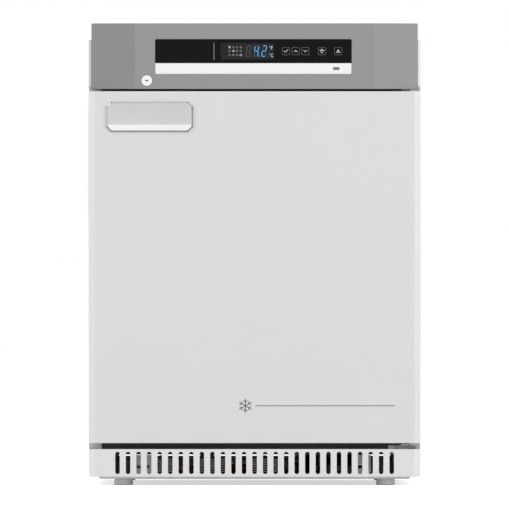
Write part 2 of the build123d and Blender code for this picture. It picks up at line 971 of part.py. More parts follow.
def door_gasket():
    """Soft bellows gasket round the inside of the door, one mitred ring."""
    half = half_width - hinge_inset - gasket_lip
    low = door_bottom + gasket_inset
    high = door_top - gasket_inset
    front = pan_back
    back = frame_front - seal_clearance
    wide = gasket_width / 2
    thin = gasket_waist / 2
    centre_x = half - wide
    neck = (back - front) / 3
    section = outline(
        (centre_x - wide, back),
        (centre_x + wide, back),
        (centre_x + wide, back - gasket_lip),
        (centre_x + thin, back - neck),
        (centre_x + thin, front + gasket_lip * 2),
        (centre_x + wide - gasket_lip, front + gasket_lip),
        (centre_x + wide - gasket_lip, front),
        (centre_x - wide + gasket_lip, front),
        (centre_x - wide + gasket_lip, front + gasket_lip),
        (centre_x - thin, front + gasket_lip * 2),
        (centre_x - thin, back - neck),
        (centre_x - wide, back - gasket_lip),
    )
    middle = (low + high) / 2
    corner_z = (high - low) / 2 - wide
    path = Polyline(
        (centre_x, front, middle),
        (centre_x, front, middle + corner_z),
        (-centre_x, front, middle + corner_z),
        (-centre_x, front, middle - corner_z),
        (centre_x, front, middle - corner_z),
        (centre_x, front, middle),
    )
    return sweep(Plane.XY.offset(middle) * section, path=path, transition=Transition.RIGHT)


def hinge_bush(top):
    """Nylon bush in the edge of the door, closed at its inner end."""
    flange = bracket_air * 2
    body = rod(0, 0, 0, bush_depth, bush_radius) + rod(0, 0, -flange, 0, bush_flange_radius)
    bore = rod(0, 0, -flange - sheet, pin_depth_in_door, pin_radius + pin_clearance)
    bush = body - bore
    if top:
        return Pos(hinge_x, hinge_y, door_top) * Rot(180, 0, 0) * bush
    return Pos(hinge_x, hinge_y, door_bottom) * bush


def bracket_levels(top):
    """Lower and upper face of a hinge bracket's flat plate, in the gap beside the door."""
    flange = bracket_air * 2
    if top:
        return door_top + flange + seat, fascia_bottom - seat
    return door_bottom - flange - seat - bracket_plate, door_bottom - flange - seat


def hinge_bracket(top):
    """Bracket on the cabinet front: an upright leg with screw holes and a plate for the pin."""
    low, high = bracket_levels(top)
    right = hinge_x + bracket_nose_radius
    left = right - bracket_width
    leg_right = hinge_x + pin_radius
    plate_shape = outline(
        (left, frame_front),
        (left, frame_front - bracket_plate),
        (hinge_x - bracket_shoulder, hinge_y),
        (hinge_x, hinge_y - bracket_nose_radius),
        (right, hinge_y),
        (right, frame_front - bracket_plate - seat),
        (leg_right, frame_front - bracket_plate),
        (leg_right, frame_front),
    )
    plate_shape += Pos(hinge_x, hinge_y) * Circle(bracket_nose_radius)
    plate = rise(plate_shape, low, high)
    leg_low = low if top else floor_clearance
    leg_span = (leg_low, leg_low + bracket_leg_height)
    leg_face = frame_front - bracket_plate
    leg = slab((left, leg_right), (leg_face, frame_front), leg_span)
    bracket = plate + leg
    middle_x = (left + leg_right) / 2
    hole_z = leg_span[1] - screw_hole_inset if top else leg_low + screw_hole_inset
    for place in (-screw_hole_pitch / 2, screw_hole_pitch / 2):
        bracket -= bar(middle_x + place, hole_z, leg_face - sheet, frame_front + sheet, screw_hole_radius)
    return bracket - rod(hinge_x, hinge_y, low - sheet, high + sheet, pin_radius)


def hinge_pin(top):
    """Steel pin pressed into the bracket and running in the door's bush."""
    low, high = bracket_levels(top)
    if top:
        return rod(hinge_x, hinge_y, door_top - pin_depth_in_door + seat, high, pin_radius)
    return rod(hinge_x, hinge_y, low, door_bottom + pin_depth_in_door - seat, pin_radius)


# Kick grille

def kick_grille():
    """Panel under the door with a row of upright round-ended slots and folded edges."""
    shell_body = rise(bevelled_plan(frame_front - seat), grille_bottom, grille_top)
    shell_body -= rise(bevelled_inside(frame_front - seat, grille_wall), grille_bottom + grille_wall,
                       grille_top - grille_wall)
    inner = half_width - grille_wall
    fold_back = front_y + grille_flange
    shell_body -= slab((-inner, inner), (fold_back, frame_front), (grille_bottom - sheet, grille_top + sheet))
    slot_z = grille_bottom + slot_base + slot_length / 2
    first = -slot_pitch * (slot_count - 1) / 2
    slot_shape = SlotOverall(slot_length, slot_width, rotation=90)
    slots = [Pos(first + slot_pitch * step, slot_z) * slot_shape for step in range(slot_count)]
    return shell_body - reach(Sketch() + slots, front_y - sheet, front_y + grille_wall + sheet)


# Base tray and feet

def foot_places():
    """Plan places of the four feet with their names."""
    half = half_width - foot_side_inset
    front = front_y + foot_front_inset
    back = back_y - foot_back_inset
    return {
        "front_left": (-half, front),
        "front_right": (half, front),
        "rear_left": (-half, back),
        "rear_right": (half, back),
    }


def base_tray():
    """Folded base tray, low at the front, that carries the cabinet and the condensing unit."""
    top = foot_height + tray_upstand
    body = slab((-tray_half_width, tray_half_width), (tray_front, tray_back), (foot_height, top))
    body = fillet(body.edges().filter_by(Axis.Z), tray_corner)
    body = fillet(body.edges().group_by(Axis.Z)[0], tray_edge_round)
    hollow = slab(
        (tray_sheet - tray_half_width, tray_half_width - tray_sheet),
        (tray_front + tray_sheet, tray_back - tray_sheet),
        (tray_floor, top + sheet),
    )
    hollow = fillet(hollow.edges().filter_by(Axis.Z), tray_corner - tray_sheet)
    hollow = fillet(hollow.edges().group_by(Axis.Z)[0], tray_edge_round - tray_sheet)
    body -= hollow
    body -= slab(
        (-tray_half_width, tray_half_width),
        (tray_front, tray_front + tray_corner),
        (foot_height + tray_front_rise, top),
    )
    for x, y in foot_places().values():
        body -= rod(x, y, foot_height - sheet, tray_floor + sheet, stem_radius + seat)
    return body


def levelling_foot(x, y):
    """Fluted foot with its threaded stem."""
    pad_top = foot_height - foot_air
    profile = outline(
        (0, 0),
        (foot_radius - foot_edge_round, 0),
        (foot_radius, foot_edge_round),
        (foot_radius - foot_taper, pad_top),
        (stem_radius, pad_top),
        (stem_radius, tray_floor + stem_rise),
        (0, tray_floor + stem_rise),
    )
    foot = revolve(Plane.XZ * profile, axis=Axis.Z)
    flute = rod(0, foot_radius + flute_radius / 2, foot_edge_round, pad_top + sheet, flute_radius)
    for cut in ring_of(flute, foot_flutes):
        foot -= cut
    return Pos(x, y, 0) * foot


def foot_nuts():
    """Hexagonal welded nuts on the tray, one over each foot."""
    nuts = []
    for x, y in foot_places().values():
        hexagon = Pos(x, y) * RegularPolygon(foot_nut_flats / 2, 6, major_radius=False)
        nut_top = tray_floor + foot_nut_height
        nut = rise(hexagon, tray_floor, nut_top)
        nuts.append(nut - rod(x, y, foot_height, nut_top + sheet, stem_radius + stem_clearance))
    return Compound(nuts)


# Condensing unit

def fin_pack_places():
    """Left edge and width of each fin pack of the condenser."""
    places = []
    left = condenser_left
    for width in fin_pack_widths:
        places.append((left, width))
        left += width + fin_pack_gap
    return places


def pass_places():
    """Places of the upright tube passes, two in each fin pack, from left to right."""
    places = []
    for left, width in fin_pack_places():
        middle = left + width / 2
        places += [middle - coil_pass_gap / 2, middle + coil_pass_gap / 2]
    return places


def condenser_fins():
    """Packs of level fins pressed on the upright passes of the tube."""
    fins = []
    for left, width in fin_pack_places():
        blank = Pos(left + width / 2, coil_y) * Rectangle(width, fin_depth)
        for step in (-coil_pass_gap / 2, coil_pass_gap / 2):
            blank -= Pos(left + width / 2 + step, coil_y) * Circle(coil_radius + coil_fit)
        for layer in range(fin_count):
            low = fin_base + fin_pitch * layer
            fins.append(rise(blank, low, low + fin_thickness))
    return Compound(fins)


def condenser_tube():
    """Tube of the condenser, up and down through the fin packs and out to the back at both ends."""
    low = line_level
    high = floor_clearance - coil_radius - sheet
    places = pass_places()
    route = [(places[0], coil_back, low), (places[0], coil_y, low)]
    radii = [coil_bend]
    level = low
    for step, x in enumerate(places):
        if step > 0:
            route.append((x, coil_y, level))
            radii.append(coil_bend)
        level = high if level == low else low
        route.append((x, coil_y, level))
        radii.append(coil_bend)
    route.append((places[-1], coil_back, level))
    return pipe(route, coil_radius, radii)


def air_guide(x):
    """Upright bracket beside the condenser with a level slot and a folded foot."""
    front = fin_front - guide_thickness - seat
    high = floor_clearance - seat
    plate_shape = window(x, (tray_floor + high) / 2, guide_width, high - tray_floor)
    plate = reach(plate_shape, front, front + guide_thickness)
    slot_z = tray_floor + guide_slot_rise + guide_slot_height / 2
    slot = Pos(x, slot_z) * SlotOverall(guide_slot_width, guide_slot_height)
    plate -= reach(slot, front - sheet, front + guide_thickness + sheet)
    foot = slab(
        (x - guide_width / 2, x + guide_width / 2),
        (front, front + guide_foot),
        (tray_floor, tray_floor + guide_thickness),
    )
    return plate + foot


def compressor():
    """Hermetic compressor: two drawn shells with a welded seam and a mounting plate."""
    top = compressor_base + compressor_height
    can = rod(compressor_x, compressor_y, compressor_base, top, compressor_radius)
    can = fillet(can.edges().filter_by(GeomType.CIRCLE).group_by(Axis.Z)[-1], compressor_round)
    can = fillet(can.edges().filter_by(GeomType.CIRCLE).group_by(Axis.Z)[0], compressor_round / 2)
    seam_z = compressor_base + seam_rise
    can += rod(compressor_x, compressor_y, seam_z, seam_z + seam_height, seam_radius)
    reach_out = mount_arm_reach
    arms = Rectangle(reach_out * 2, mount_arm_width) + Rectangle(mount_arm_width, reach_out * 2)
    arms = Pos(compressor_x, compressor_y) * Rot(0, 0, 45) * arms
    plate = rise(arms, compressor_base - mount_plate, compressor_base + sheet)
    body = can + plate
    for x, y in grommet_places():
        hole_low = compressor_base - mount_plate - sheet
        body -= rod(x, y, hole_low, compressor_base + sheet * 2, grommet_radius / 2 + seat)
    return body


def grommet_places():
    """Plan places of the four compressor mounts."""
    arm = (mount_arm_reach - grommet_radius) * cos(radians(45))
    return [(compressor_x + a * arm, compressor_y + b * arm) for a in (-1, 1) for b in (-1, 1)]


def compressor_grommets():
    """Rubber mounts under the plate, each with a neck through it."""
    mounts = []
    for x, y in grommet_places():
        low = tray_floor
        high = compressor_base - mount_plate
        mount = rod(x, y, low, high, grommet_radius)
        mount += rod(x, y, high - sheet, compressor_base + sheet * 2, grommet_radius / 2)
        mounts.append(mount)
    return Compound(mounts)


def terminal_box():
    """Cover over the compressor's electrical terminals, on the side towards the fan."""
    right = compressor_x - compressor_radius + terminal_overlap
    low = compressor_base + terminal_rise
    high = low + terminal_height
    half = terminal_width / 2
    box = slab((right - terminal_depth, right), (compressor_y - half, compressor_y + half), (low, high))
    box = fillet(box.edges().group_by(Axis.X)[0], terminal_round)
    return box - rod(compressor_x, compressor_y, low - sheet, high + sheet, seam_radius + seat)


def fan_frame():
    """Square frame of an axial fan with its motor seat on four struts, centred on the origin."""
    blank = RectangleRounded(fan_size, fan_size, fan_corner) - Circle(fan_bore)
    hole_reach = fan_size / 2 - fan_corner
    for a in (-1, 1):
        for b in (-1, 1):
            blank -= Pos(a * hole_reach, b * hole_reach) * Circle(fan_screw_radius)
    frame = extrude(blank, amount=fan_depth)
    spokes = Circle(fan_hub)
    for turn in (0, 90):
        spokes += Rot(0, 0, turn + 45) * Rectangle(fan_bore * 2 + fan_strut / 2, fan_strut)
    frame += extrude(spokes, amount=fan_strut)
    spindle = rod(0, 0, fan_strut, fan_depth - hub_cap - fan_air, fan_spindle_radius)
    return frame + spindle


def fan_impeller():
    """Hub with twisted blades on the frame's spindle."""
    low = fan_strut + fan_air
    high = fan_depth - fan_air
    hub = rod(0, 0, low, high, fan_hub)
    hub = chamfer(hub.edges().filter_by(GeomType.CIRCLE).group_by(Axis.Z)[-1], hub_bevel)
    tip = fan_bore - fan_tip_clearance
    middle = (low + high) / 2
    sections = []
    for radius, pitch, chord in (
        (fan_hub - blade_sink, blade_root_pitch, blade_chord_root),
        (tip, blade_tip_pitch, blade_chord_tip),
    ):
        station = Plane(origin=(radius, 0, middle), x_dir=(0, 1, 0), z_dir=(1, 0, 0))
        sections.append(station * Rot(0, 0, pitch) * Rectangle(chord, blade_thickness))
    blade = loft(Sketch() + sections, ruled=True)
    trim = rod(0, 0, low, high - fan_air, tip)
    impeller = hub
    for copy in ring_of(blade & trim, fan_blades):
        impeller += copy
    bore = rod(0, 0, low - sheet, fan_depth - hub_cap, fan_spindle_radius + fan_spindle_clearance)
    return impeller - bore


def condenser_fan(piece):
    """Place a fan piece behind the rear cover, blowing out to the back."""
    return Pos(fan_x, fan_back, fan_z) * Rot(90, 0, 0) * piece


def evaporator_fan(piece):
    """Place a fan piece behind the evaporator cover, blowing into the compartment."""
    return Pos(0, inner_fan_front + fan_depth, inner_fan_z) * Rot(90, 0, 0) * piece


def rear_cover():
    """Sheet over the machine compartment with columns of air slots."""
    cover = slab(
        (sheet - half_width, half_width - sheet),
        (back_y - rear_cover_thickness, back_y),
        (grille_bottom + sheet, machine_top),
    )
    middle = (grille_bottom + machine_top) / 2
    first = middle - louvre_pitch * (louvre_rows - 1) / 2
    left = -louvre_column_pitch * (louvre_columns - 1) / 2
    holes = []
    for column in range(louvre_columns):
        for row in range(louvre_rows):
            place = Pos(left + louvre_column_pitch * column, first + louvre_pitch * row)
            holes.append(place * Rectangle(louvre_width, louvre_height))
    cut = (back_y - rear_cover_thickness - sheet, back_y + sheet)
    cover -= reach(Sketch() + holes, *cut)
    return cover - bar(gland_x, gland_z, *cut, gland_radius)


def water_tray():
    """Open tray on top of the compressor where the defrost water dries off."""
    low = compressor_base + compressor_height + seat
    shape = RectangleRounded(water_tray_width, water_tray_depth, water_tray_corner)
    outer = Pos(compressor_x, compressor_y) * shape
    inner = offset(outer, amount=-water_tray_wall)
    body = rise(outer, low, low + water_tray_height)
    return body - rise(inner, low + water_tray_wall, low + water_tray_height + sheet)


def drain_tube():
    """Short spout from the compartment floor step down over the machine compartment."""
    high = machine_top + sheet
    low = machine_top - drain_length
    spout = rod(drain_x, compressor_y, low, high, drain_radius)
    return spout - rod(drain_x, compressor_y, low - sheet, high + sheet, drain_radius - drain_wall)


def filter_drier():
    """Copper drier with necked ends, lying along the tray."""
    half = drier_length / 2
    profile = outline(
        (-half - drier_neck, 0),
        (-half - drier_neck, tube_radius),
        (-half, drier_radius),
        (half, drier_radius),
        (half + drier_neck, tube_radius),
        (half + drier_neck, 0),
    )
    body = revolve(profile, axis=Axis.X)
    return Pos(drier_x, drier_y, drier_z) * body


def trimmed_at_can(line):
    """A tube cut off where it meets the compressor's shell."""
    return line - rod(compressor_x, compressor_y, compressor_base, machine_top, compressor_radius)


def discharge_line():
    """Tube from the compressor to the right end of the condenser."""
    port_x = compressor_x - port_spread
    port_z = compressor_base + discharge_rise
    drop_y = step_front + line_wall_gap
    coil_x = pass_places()[-1]
    route = [
        (port_x, compressor_y - compressor_radius + port_sink, port_z),
        (port_x, drop_y, port_z),
        (port_x, drop_y, line_level),
        (coil_x, drop_y - line_run, line_level),
        (coil_x, coil_back, line_level),
    ]
    return trimmed_at_can(pipe(route, tube_radius, [line_bend, line_bend, line_bend]))


def liquid_line():
    """Tube from the left end of the condenser to the drier."""
    coil_x = pass_places()[0]
    drier_end = drier_x - drier_length / 2 - drier_neck
    route = [
        (coil_x, coil_back, line_level),
        (coil_x, drier_y - line_run, line_level),
        (drier_end - line_run / 2, drier_y, drier_z),
        (drier_end, drier_y, drier_z),
    ]
    return pipe(route, tube_radius, [line_bend, line_bend])


def suction_line():
    """Tube from the roof of the machine compartment down to the compressor."""
    port_x = compressor_x + port_spread
    port_z = compressor_base + suction_rise
    rise_y = step_front + line_wall_gap
    route = [
        (port_x, compressor_y - compressor_radius + port_sink, port_z),
        (port_x, rise_y, port_z),
        (port_x, rise_y, machine_top),
    ]
    return trimmed_at_can(pipe(route, suction_radius, [line_bend]))


def cord_gland():
    """Round gland in the rear cover where the supply cord comes in."""
    front = back_y - rear_cover_thickness - gland_length
    back = back_y + gland_flange_depth
    body = bar(gland_x, gland_z, front, back_y, gland_radius)
    body += bar(gland_x, gland_z, back_y, back, gland_flange_radius)
    return body - bar(gland_x, gland_z, front - sheet, back + sheet, gland_bore)


# Inside the compartment

def wire_shelf(depth):
    """Welded wire shelf: a round-cornered frame with wires from front to back and two cross bars."""
    half = opening_half - shelf_side_gap - shelf_frame_radius
    front = shelf_front
    back = front + depth
    middle_y = (front + back) / 2
    loop = Pos(0, middle_y) * RectangleRounded(half * 2, depth, shelf_corner)
    path = loop.wire()
    mouth = Plane(origin=path @ 0, z_dir=path % 0)
    shelf = sweep(mouth * Circle(shelf_frame_radius), path=path)
    wire_z = shelf_frame_radius + shelf_wire_radius - shelf_weld
    pitch = half * 2 / (shelf_wires + 1)
    wires = []
    for step in range(shelf_wires):
        x = pitch * (step + 1) - half
        wires.append(bar(x, wire_z, front, back, shelf_wire_radius))
    for step in range(shelf_bars):
        y = front + depth * (step + 1) / (shelf_bars + 1)
        wires.append(across(Pos(y, 0) * Circle(shelf_bar_radius), -half, half))
    return shelf + wires


def shelf_rail(side, y):
    """Slotted channel on the side wall of the compartment."""
    wall_x = opening_half
    face_x = wall_x - rail_depth
    low = opening_bottom + rail_margin
    high = opening_top - rail_margin
    half = rail_width / 2
    section = outline(
        (wall_x, y - half),
        (face_x, y - half),
        (face_x, y + half),
        (wall_x, y + half),
        (wall_x, y + half - rail_wall),
        (face_x + rail_wall, y + half - rail_wall),
        (face_x + rail_wall, y - half + rail_wall),
        (wall_x, y - half + rail_wall),
    )
    rail = rise(section, low, high)
    count = int((high - low - rail_slot_pitch) // rail_slot_pitch)
    first = (low + high) / 2 - rail_slot_pitch * (count - 1) / 2
    hole = Rectangle(rail_slot_width, rail_slot_height)
    slots = [Pos(y, first + rail_slot_pitch * step) * hole for step in range(count)]
    rail -= across(Sketch() + slots, face_x - sheet, face_x + rail_wall + sheet)
    return rail if side > 0 else mirror(rail, about=Plane.YZ)


def shelf_clips():
    """Hooked clips that carry the shelves on the rails."""
    clips = []
    face_x = opening_half - rail_depth
    for level in shelf_levels:
        top = level - shelf_frame_radius
        for y in (rail_front, rail_rear):
            hook = outline(
                (face_x, top - clip_height),
                (face_x, top),
                (face_x - clip_depth, top),
                (face_x - clip_depth, top - clip_thickness),
                (face_x - clip_thickness, top - clip_height),
            )
            clip = reach(hook, y - rail_slot_width, y + rail_slot_width)
            clips += [clip, mirror(clip, about=Plane.YZ)]
    return Compound(clips)


def evaporator_cover():
    """Moulded cover on the back wall with a ringed fan guard and return-air slots."""
    half = cover_width / 2
    middle = (cover_top + cover_bottom) / 2
    body = slab((-half, half), (cover_front, inner_back), (cover_bottom, cover_top))
    body = fillet(body.edges().filter_by(Axis.Y) + body.edges().group_by(Axis.Y)[0], cover_radius)
    room = slab(
        (cover_wall - half, half - cover_wall),
        (cover_front + cover_wall, inner_back + sheet),
        (cover_bottom + cover_wall, cover_top - cover_wall),
    )
    room_edges = room.edges().filter_by(Axis.Y) + room.edges().group_by(Axis.Y)[0]
    room = fillet(room_edges, cover_radius - cover_wall)
    body -= room
    ring_gap = (fan_bore - fan_hub) / guard_rings
    openings = Sketch()
    for ring in range(guard_rings):
        outer = fan_hub + ring_gap * (ring + 1) - guard_ring_width / 2
        inner = fan_hub + ring_gap * ring + guard_ring_width / 2
        openings += Circle(outer) - Circle(inner)
    for turn in range(guard_spokes):
        openings -= Rot(0, 0, 180 * turn / guard_spokes) * Rectangle(fan_bore * 2, guard_ring_width)
    cut_front = cover_front - sheet
    cut_back = cover_front + cover_wall + sheet
    body -= reach(Pos(0, inner_fan_z) * openings, cut_front, cut_back)
    slot_z = cover_bottom + return_slot_rise + return_slot_height / 2
    first = -return_slot_pitch * (return_slots - 1) / 2
    slot = SlotOverall(return_slot_height, return_slot_width, rotation=90)
    slots = [Pos(first + return_slot_pitch * step, slot_z) * slot for step in range(return_slots)]
    return body - reach(Sketch() + slots, cut_front, cut_back)


def evaporator_coil():
    """Finned evaporator block behind the cover."""
    half = evaporator_width / 2
    back = inner_back - seat
    front = back - evaporator_depth
    spine = back - evaporator_spine
    pitch = (evaporator_width - evaporator_fin) / (evaporator_fins - 1)
    low = cover_bottom + cover_wall + evaporator_rise
    block = slab((-half, half), (spine, back), (low, low + evaporator_height))
    for step in range(evaporator_fins):
        left = pitch * step - half
        block += slab((left, left + evaporator_fin), (front, spine), (low, low + evaporator_height))
    return block


def interior_lamp():
    """Half-round light bar under the compartment ceiling."""
    y = frame_back + lamp_setback
    half_round = Pos(y, opening_top) * Circle(lamp_radius)
    half_round -= Pos(y, opening_top + lamp_radius) * Rectangle(lamp_radius * 2, lamp_radius * 2)
    return across(half_round, -lamp_width / 2, lamp_width / 2)


def temperature_probe():
    """Round probe in a clip on the right wall."""
    x = opening_half - probe_clip / 2
    z = opening_top - probe_drop
    y = (rail_front + rail_rear) / 2
    body = bar(x - probe_radius, z, y - probe_length / 2, y + probe_length / 2, probe_radius)
    clip_x = (x - probe_radius, opening_half)
    return body + slab(clip_x, (y - probe_clip, y + probe_clip), (z - probe_radius, z + probe_radius))


# The parts

def build_parts():
    """Make every part by name."""
    parts["side_panel_left"] = side_panel(-1)
    parts["side_panel_right"] = side_panel(1)
    parts["front_rails"] = Compound([front_rail_top(), front_rail_bottom()])
    parts["underside_pan"] = underside_pan()
    parts["top_pan"] = top_pan()
    parts["back_panel"] = back_panel()
    parts["inner_liner"] = inner_liner()
    parts["cabinet_insulation"] = insulation()
    parts["worktop"] = worktop()
    parts["control_fascia"] = fascia()
    parts["fascia_cheeks"] = Compound([fascia_cheek(-1), fascia_cheek(1)])
    parts["display_panel"] = display_panel()
    parts["insert_strip"] = lower_strip()
    parts["usb_port"] = usb_port()
    parts["control_board"] = Compound([control_board(), buzzer()])
    parts["power_module"] = power_module()
    parts["lock_barrel"] = lock_barrel()
    parts["lock_plug"] = lock_plug()
    parts["lock_cam"] = Compound([lock_cam(), cam_screw()])
    parts["lock_nut"] = lock_nut()
    parts["lock_keeper"] = lock_keeper()
    parts["door_pan"] = door_pan()
    parts["door_liner"] = door_liner()
    parts["door_grip"] = door_grip()
    parts["door_insulation"] = door_foam()
    parts["door_gasket"] = door_gasket()
    parts["hinge_brackets"] = Compound([hinge_bracket(False), hinge_bracket(True)])
    parts["hinge_pins"] = Compound([hinge_pin(False), hinge_pin(True)])
    parts["hinge_bushes"] = Compound([hinge_bush(False), hinge_bush(True)])
    parts["kick_grille"] = kick_grille()
    parts["base_tray"] = base_tray()
    for name, (x, y) in foot_places().items():
        parts[f"foot_{name}"] = levelling_foot(x, y)
    parts["foot_nuts"] = foot_nuts()
    parts["condenser_fins"] = condenser_fins()
    parts["condenser_tube"] = condenser_tube()
    parts["air_guides"] = Compound([air_guide(guide_left_x), air_guide(guide_right_x)])
    parts["compressor"] = compressor()
    parts["compressor_grommets"] = compressor_grommets()
    parts["terminal_box"] = terminal_box()
    parts["condenser_fan_frame"] = condenser_fan(fan_frame())
    parts["condenser_fan_impeller"] = condenser_fan(fan_impeller())
    parts["rear_cover"] = rear_cover()
    parts["cord_gland"] = cord_gland()
    parts["water_tray"] = water_tray()
    parts["drain_tube"] = drain_tube()
    parts["refrigerant_lines"] = Compound([discharge_line(), liquid_line(), suction_line(), filter_drier()])
    rails = [shelf_rail(side, y) for side in (-1, 1) for y in (rail_front, rail_rear)]
    parts["shelf_rails"] = Compound(rails)
    full_shelf = wire_shelf(shelf_depth)
    short_shelf = wire_shelf(short_shelf_depth)
    names = ("lower", "middle", "upper")
    for name, shelf, level in zip(names, (short_shelf, full_shelf, full_shelf), shelf_levels):
        parts[f"shelf_{name}"] = Pos(0, 0, level) * shelf
    parts["shelf_clips"] = shelf_clips()
    parts["evaporator_cover"] = evaporator_cover()
    parts["evaporator_coil"] = evaporator_coil()
    parts["evaporator_fan_frame"] = evaporator_fan(fan_frame())
    parts["evaporator_fan_impeller"] = evaporator_fan(fan_impeller())
    parts["interior_lamp"] = interior_lamp()
    parts["temperature_probe"] = temperature_probe()


build_parts()
os.makedirs("parts", exist_ok=True)
for name, shape in parts.items():
    export_step(shape, f"parts/{name}.step")
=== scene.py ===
import logging
import math
from dataclasses import dataclass
from enum import Enum

import bpy
from mathutils import Euler, Matrix, Vector


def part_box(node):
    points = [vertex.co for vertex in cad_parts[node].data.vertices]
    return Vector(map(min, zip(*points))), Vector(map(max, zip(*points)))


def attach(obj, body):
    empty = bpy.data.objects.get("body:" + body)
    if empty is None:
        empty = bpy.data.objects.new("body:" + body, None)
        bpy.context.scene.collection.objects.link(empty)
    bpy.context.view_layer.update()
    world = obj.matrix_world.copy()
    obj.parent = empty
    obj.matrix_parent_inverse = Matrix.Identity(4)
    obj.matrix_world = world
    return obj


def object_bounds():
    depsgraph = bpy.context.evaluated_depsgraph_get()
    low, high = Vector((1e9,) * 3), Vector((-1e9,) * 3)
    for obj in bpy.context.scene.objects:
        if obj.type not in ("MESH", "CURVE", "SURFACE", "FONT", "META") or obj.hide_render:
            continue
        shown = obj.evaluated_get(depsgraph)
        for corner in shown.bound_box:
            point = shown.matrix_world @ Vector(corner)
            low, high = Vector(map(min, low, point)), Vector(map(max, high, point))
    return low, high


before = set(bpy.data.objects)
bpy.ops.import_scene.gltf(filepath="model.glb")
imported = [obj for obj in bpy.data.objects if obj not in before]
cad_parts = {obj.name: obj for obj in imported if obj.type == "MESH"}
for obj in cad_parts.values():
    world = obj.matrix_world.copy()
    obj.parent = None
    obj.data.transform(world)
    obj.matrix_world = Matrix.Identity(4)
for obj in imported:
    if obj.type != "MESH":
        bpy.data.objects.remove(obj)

LOG = logging.getLogger("freezer")
CAD_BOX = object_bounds()

Piece = bpy.types.Object
Socket = bpy.types.NodeSocket
Rgb = tuple[int, int, int]
Point = tuple[float, float, float]
Spot = tuple[float, float]  # x and z, seen from the front
MM = 0.001
WHITE = (1.0, 1.0, 1.0, 1.0)
BEVEL_SAMPLES = 4


def linear(colour: Rgb) -> tuple[float, float, float, float]:
    """Turn a colour as seen on a screen into Blender's scene colour.

    Args:
        colour: Red, green and blue from 0 to 255.

    Returns:
        The same colour as linear red, green, blue and a full alpha.
    """
    shares = [value / 255 for value in colour]
    low = [share / 12.92 if share <= 0.04045 else ((share + 0.055) / 1.055) ** 2.4 for share in shares]
    return (*low, 1.0)


def metres(*values: float) -> tuple[float, ...]:
    """Turn any number of lengths in millimetres into metres."""
    return tuple(value * MM for value in values)


class Texture(Enum):
    """The kinds of fine surface detail that a finish can carry."""

    PAINT = "paint_grain"
    BRUSHED = "brushed_grain"
    SPANGLE = "zinc_spangle"
    FOAM = "foam_cells"


@dataclass(frozen=True)
class Finish:
    """One finish of the object: its colour, its sheen and the detail in its surface."""

    name: str
    colour: Rgb
    roughness: float
    texture: Texture = Texture.PAINT
    metallic: float = 0.0
    specular: float = 0.5
    coat: float = 0.0
    mottle: float = 0.02
    mottle_scale: float = 14.0
    grain_scale: float = 900.0
    grain_depth: float = 0.03
    streak: Point = (1.0, 1.0, 1.0)
    edge_round: float = 0.0
    wear: float = 0.0
    wear_colour: Rgb = (170, 170, 168)
    dust: float = 0.0
    glow: float = 0.0
    # painted shade on the left facet and painted light on the right facet, beyond wing_start on each side
    painted_shade_left: float = 1.0
    painted_light_right: float = 1.0
    wing_start: float = 0.216
    # dark grey painted shade on the front returns, inward of frame_reach and ahead of frame_line
    frame_colour: Rgb | None = None
    frame_reach: float = 0.277
    frame_line: float = -0.2605


WHITE_STEEL = Finish("white_steel", (221, 221, 220), 0.42, mottle=0.012, edge_round=0.7, coat=0.12)
# white side panels with painted shade on their front returns in the recess behind the door
SIDE_WHITE = Finish("side_white", (221, 221, 220), 0.42, mottle=0.012, edge_round=0.5, coat=0.12,
                    frame_colour=(52, 52, 53))
# the fascia's left wing carries painted shade and its right wing carries painted light
FASCIA_GREY = Finish("fascia_grey", (147, 149, 149), 0.52, mottle=0.02, grain_scale=1400, edge_round=0.6,
                     painted_shade_left=0.87, painted_light_right=1.05)
# the left cheek carries painted shade
CHEEK_WHITE = Finish("cheek_white", (250, 250, 248), 0.4, mottle=0.012, edge_round=0.5, painted_shade_left=0.76)
GUIDE_GREY = Finish("guide_grey", (206, 207, 207), 0.5, mottle=0.03, dust=0.1)
# painted shade, painted light and a painted highlight for the facets of the badge's rim
RIM_PAINTED_SHADE = Finish("rim_painted_shade", (134, 135, 136), 0.4, mottle=0.04)
RIM_PAINTED_LIGHT = Finish("rim_painted_light", (186, 187, 188), 0.4, mottle=0.04)
RIM_PAINTED_HIGHLIGHT = Finish("rim_painted_highlight", (240, 240, 241), 0.4, mottle=0.04)
WORKTOP_GREY = Finish("worktop_grey", (150, 152, 152), 0.55, mottle=0.03, grain_scale=1100, edge_round=0.8,
                      dust=0.12)
PANEL_BLACK = Finish("panel_black", (17, 17, 18), 0.22, specular=0.1, mottle=0.05, grain_depth=0.004)
WINDOW_GREY = Finish("window_grey", (40, 40, 41), 0.25, specular=0.1, mottle=0.04, grain_depth=0.004)
STRIP_WHITE = Finish("strip_white", (243, 243, 242), 0.38, mottle=0.01, edge_round=0.4)
LOCK_WHITE = Finish("lock_white", (246, 246, 245), 0.32, mottle=0.012, edge_round=0.3, wear=0.25)
LINER_WHITE = Finish("liner_white", (232, 234, 234), 0.3, mottle=0.012, grain_scale=500, coat=0.2)
NYLON = Finish("nylon", (226, 226, 220), 0.45, mottle=0.03)
FOAM_CREAM = Finish("foam_cream", (222, 208, 162), 0.9, Texture.FOAM, mottle=0.1, mottle_scale=420,
                    grain_depth=0.5)
GASKET_GREY = Finish("gasket_grey", (74, 74, 75), 0.62, mottle=0.05, grain_scale=700, grain_depth=0.06)
PLATED_STEEL = Finish("plated_steel", (176, 178, 180), 0.34, Texture.BRUSHED, metallic=1.0, mottle=0.08,
                      streak=(60.0, 900.0, 900.0), edge_round=0.3)
GALVANISED = Finish("galvanised", (163, 166, 168), 0.46, Texture.SPANGLE, metallic=0.85, mottle=0.12,
                    mottle_scale=120, grain_depth=0.02, dust=0.1)
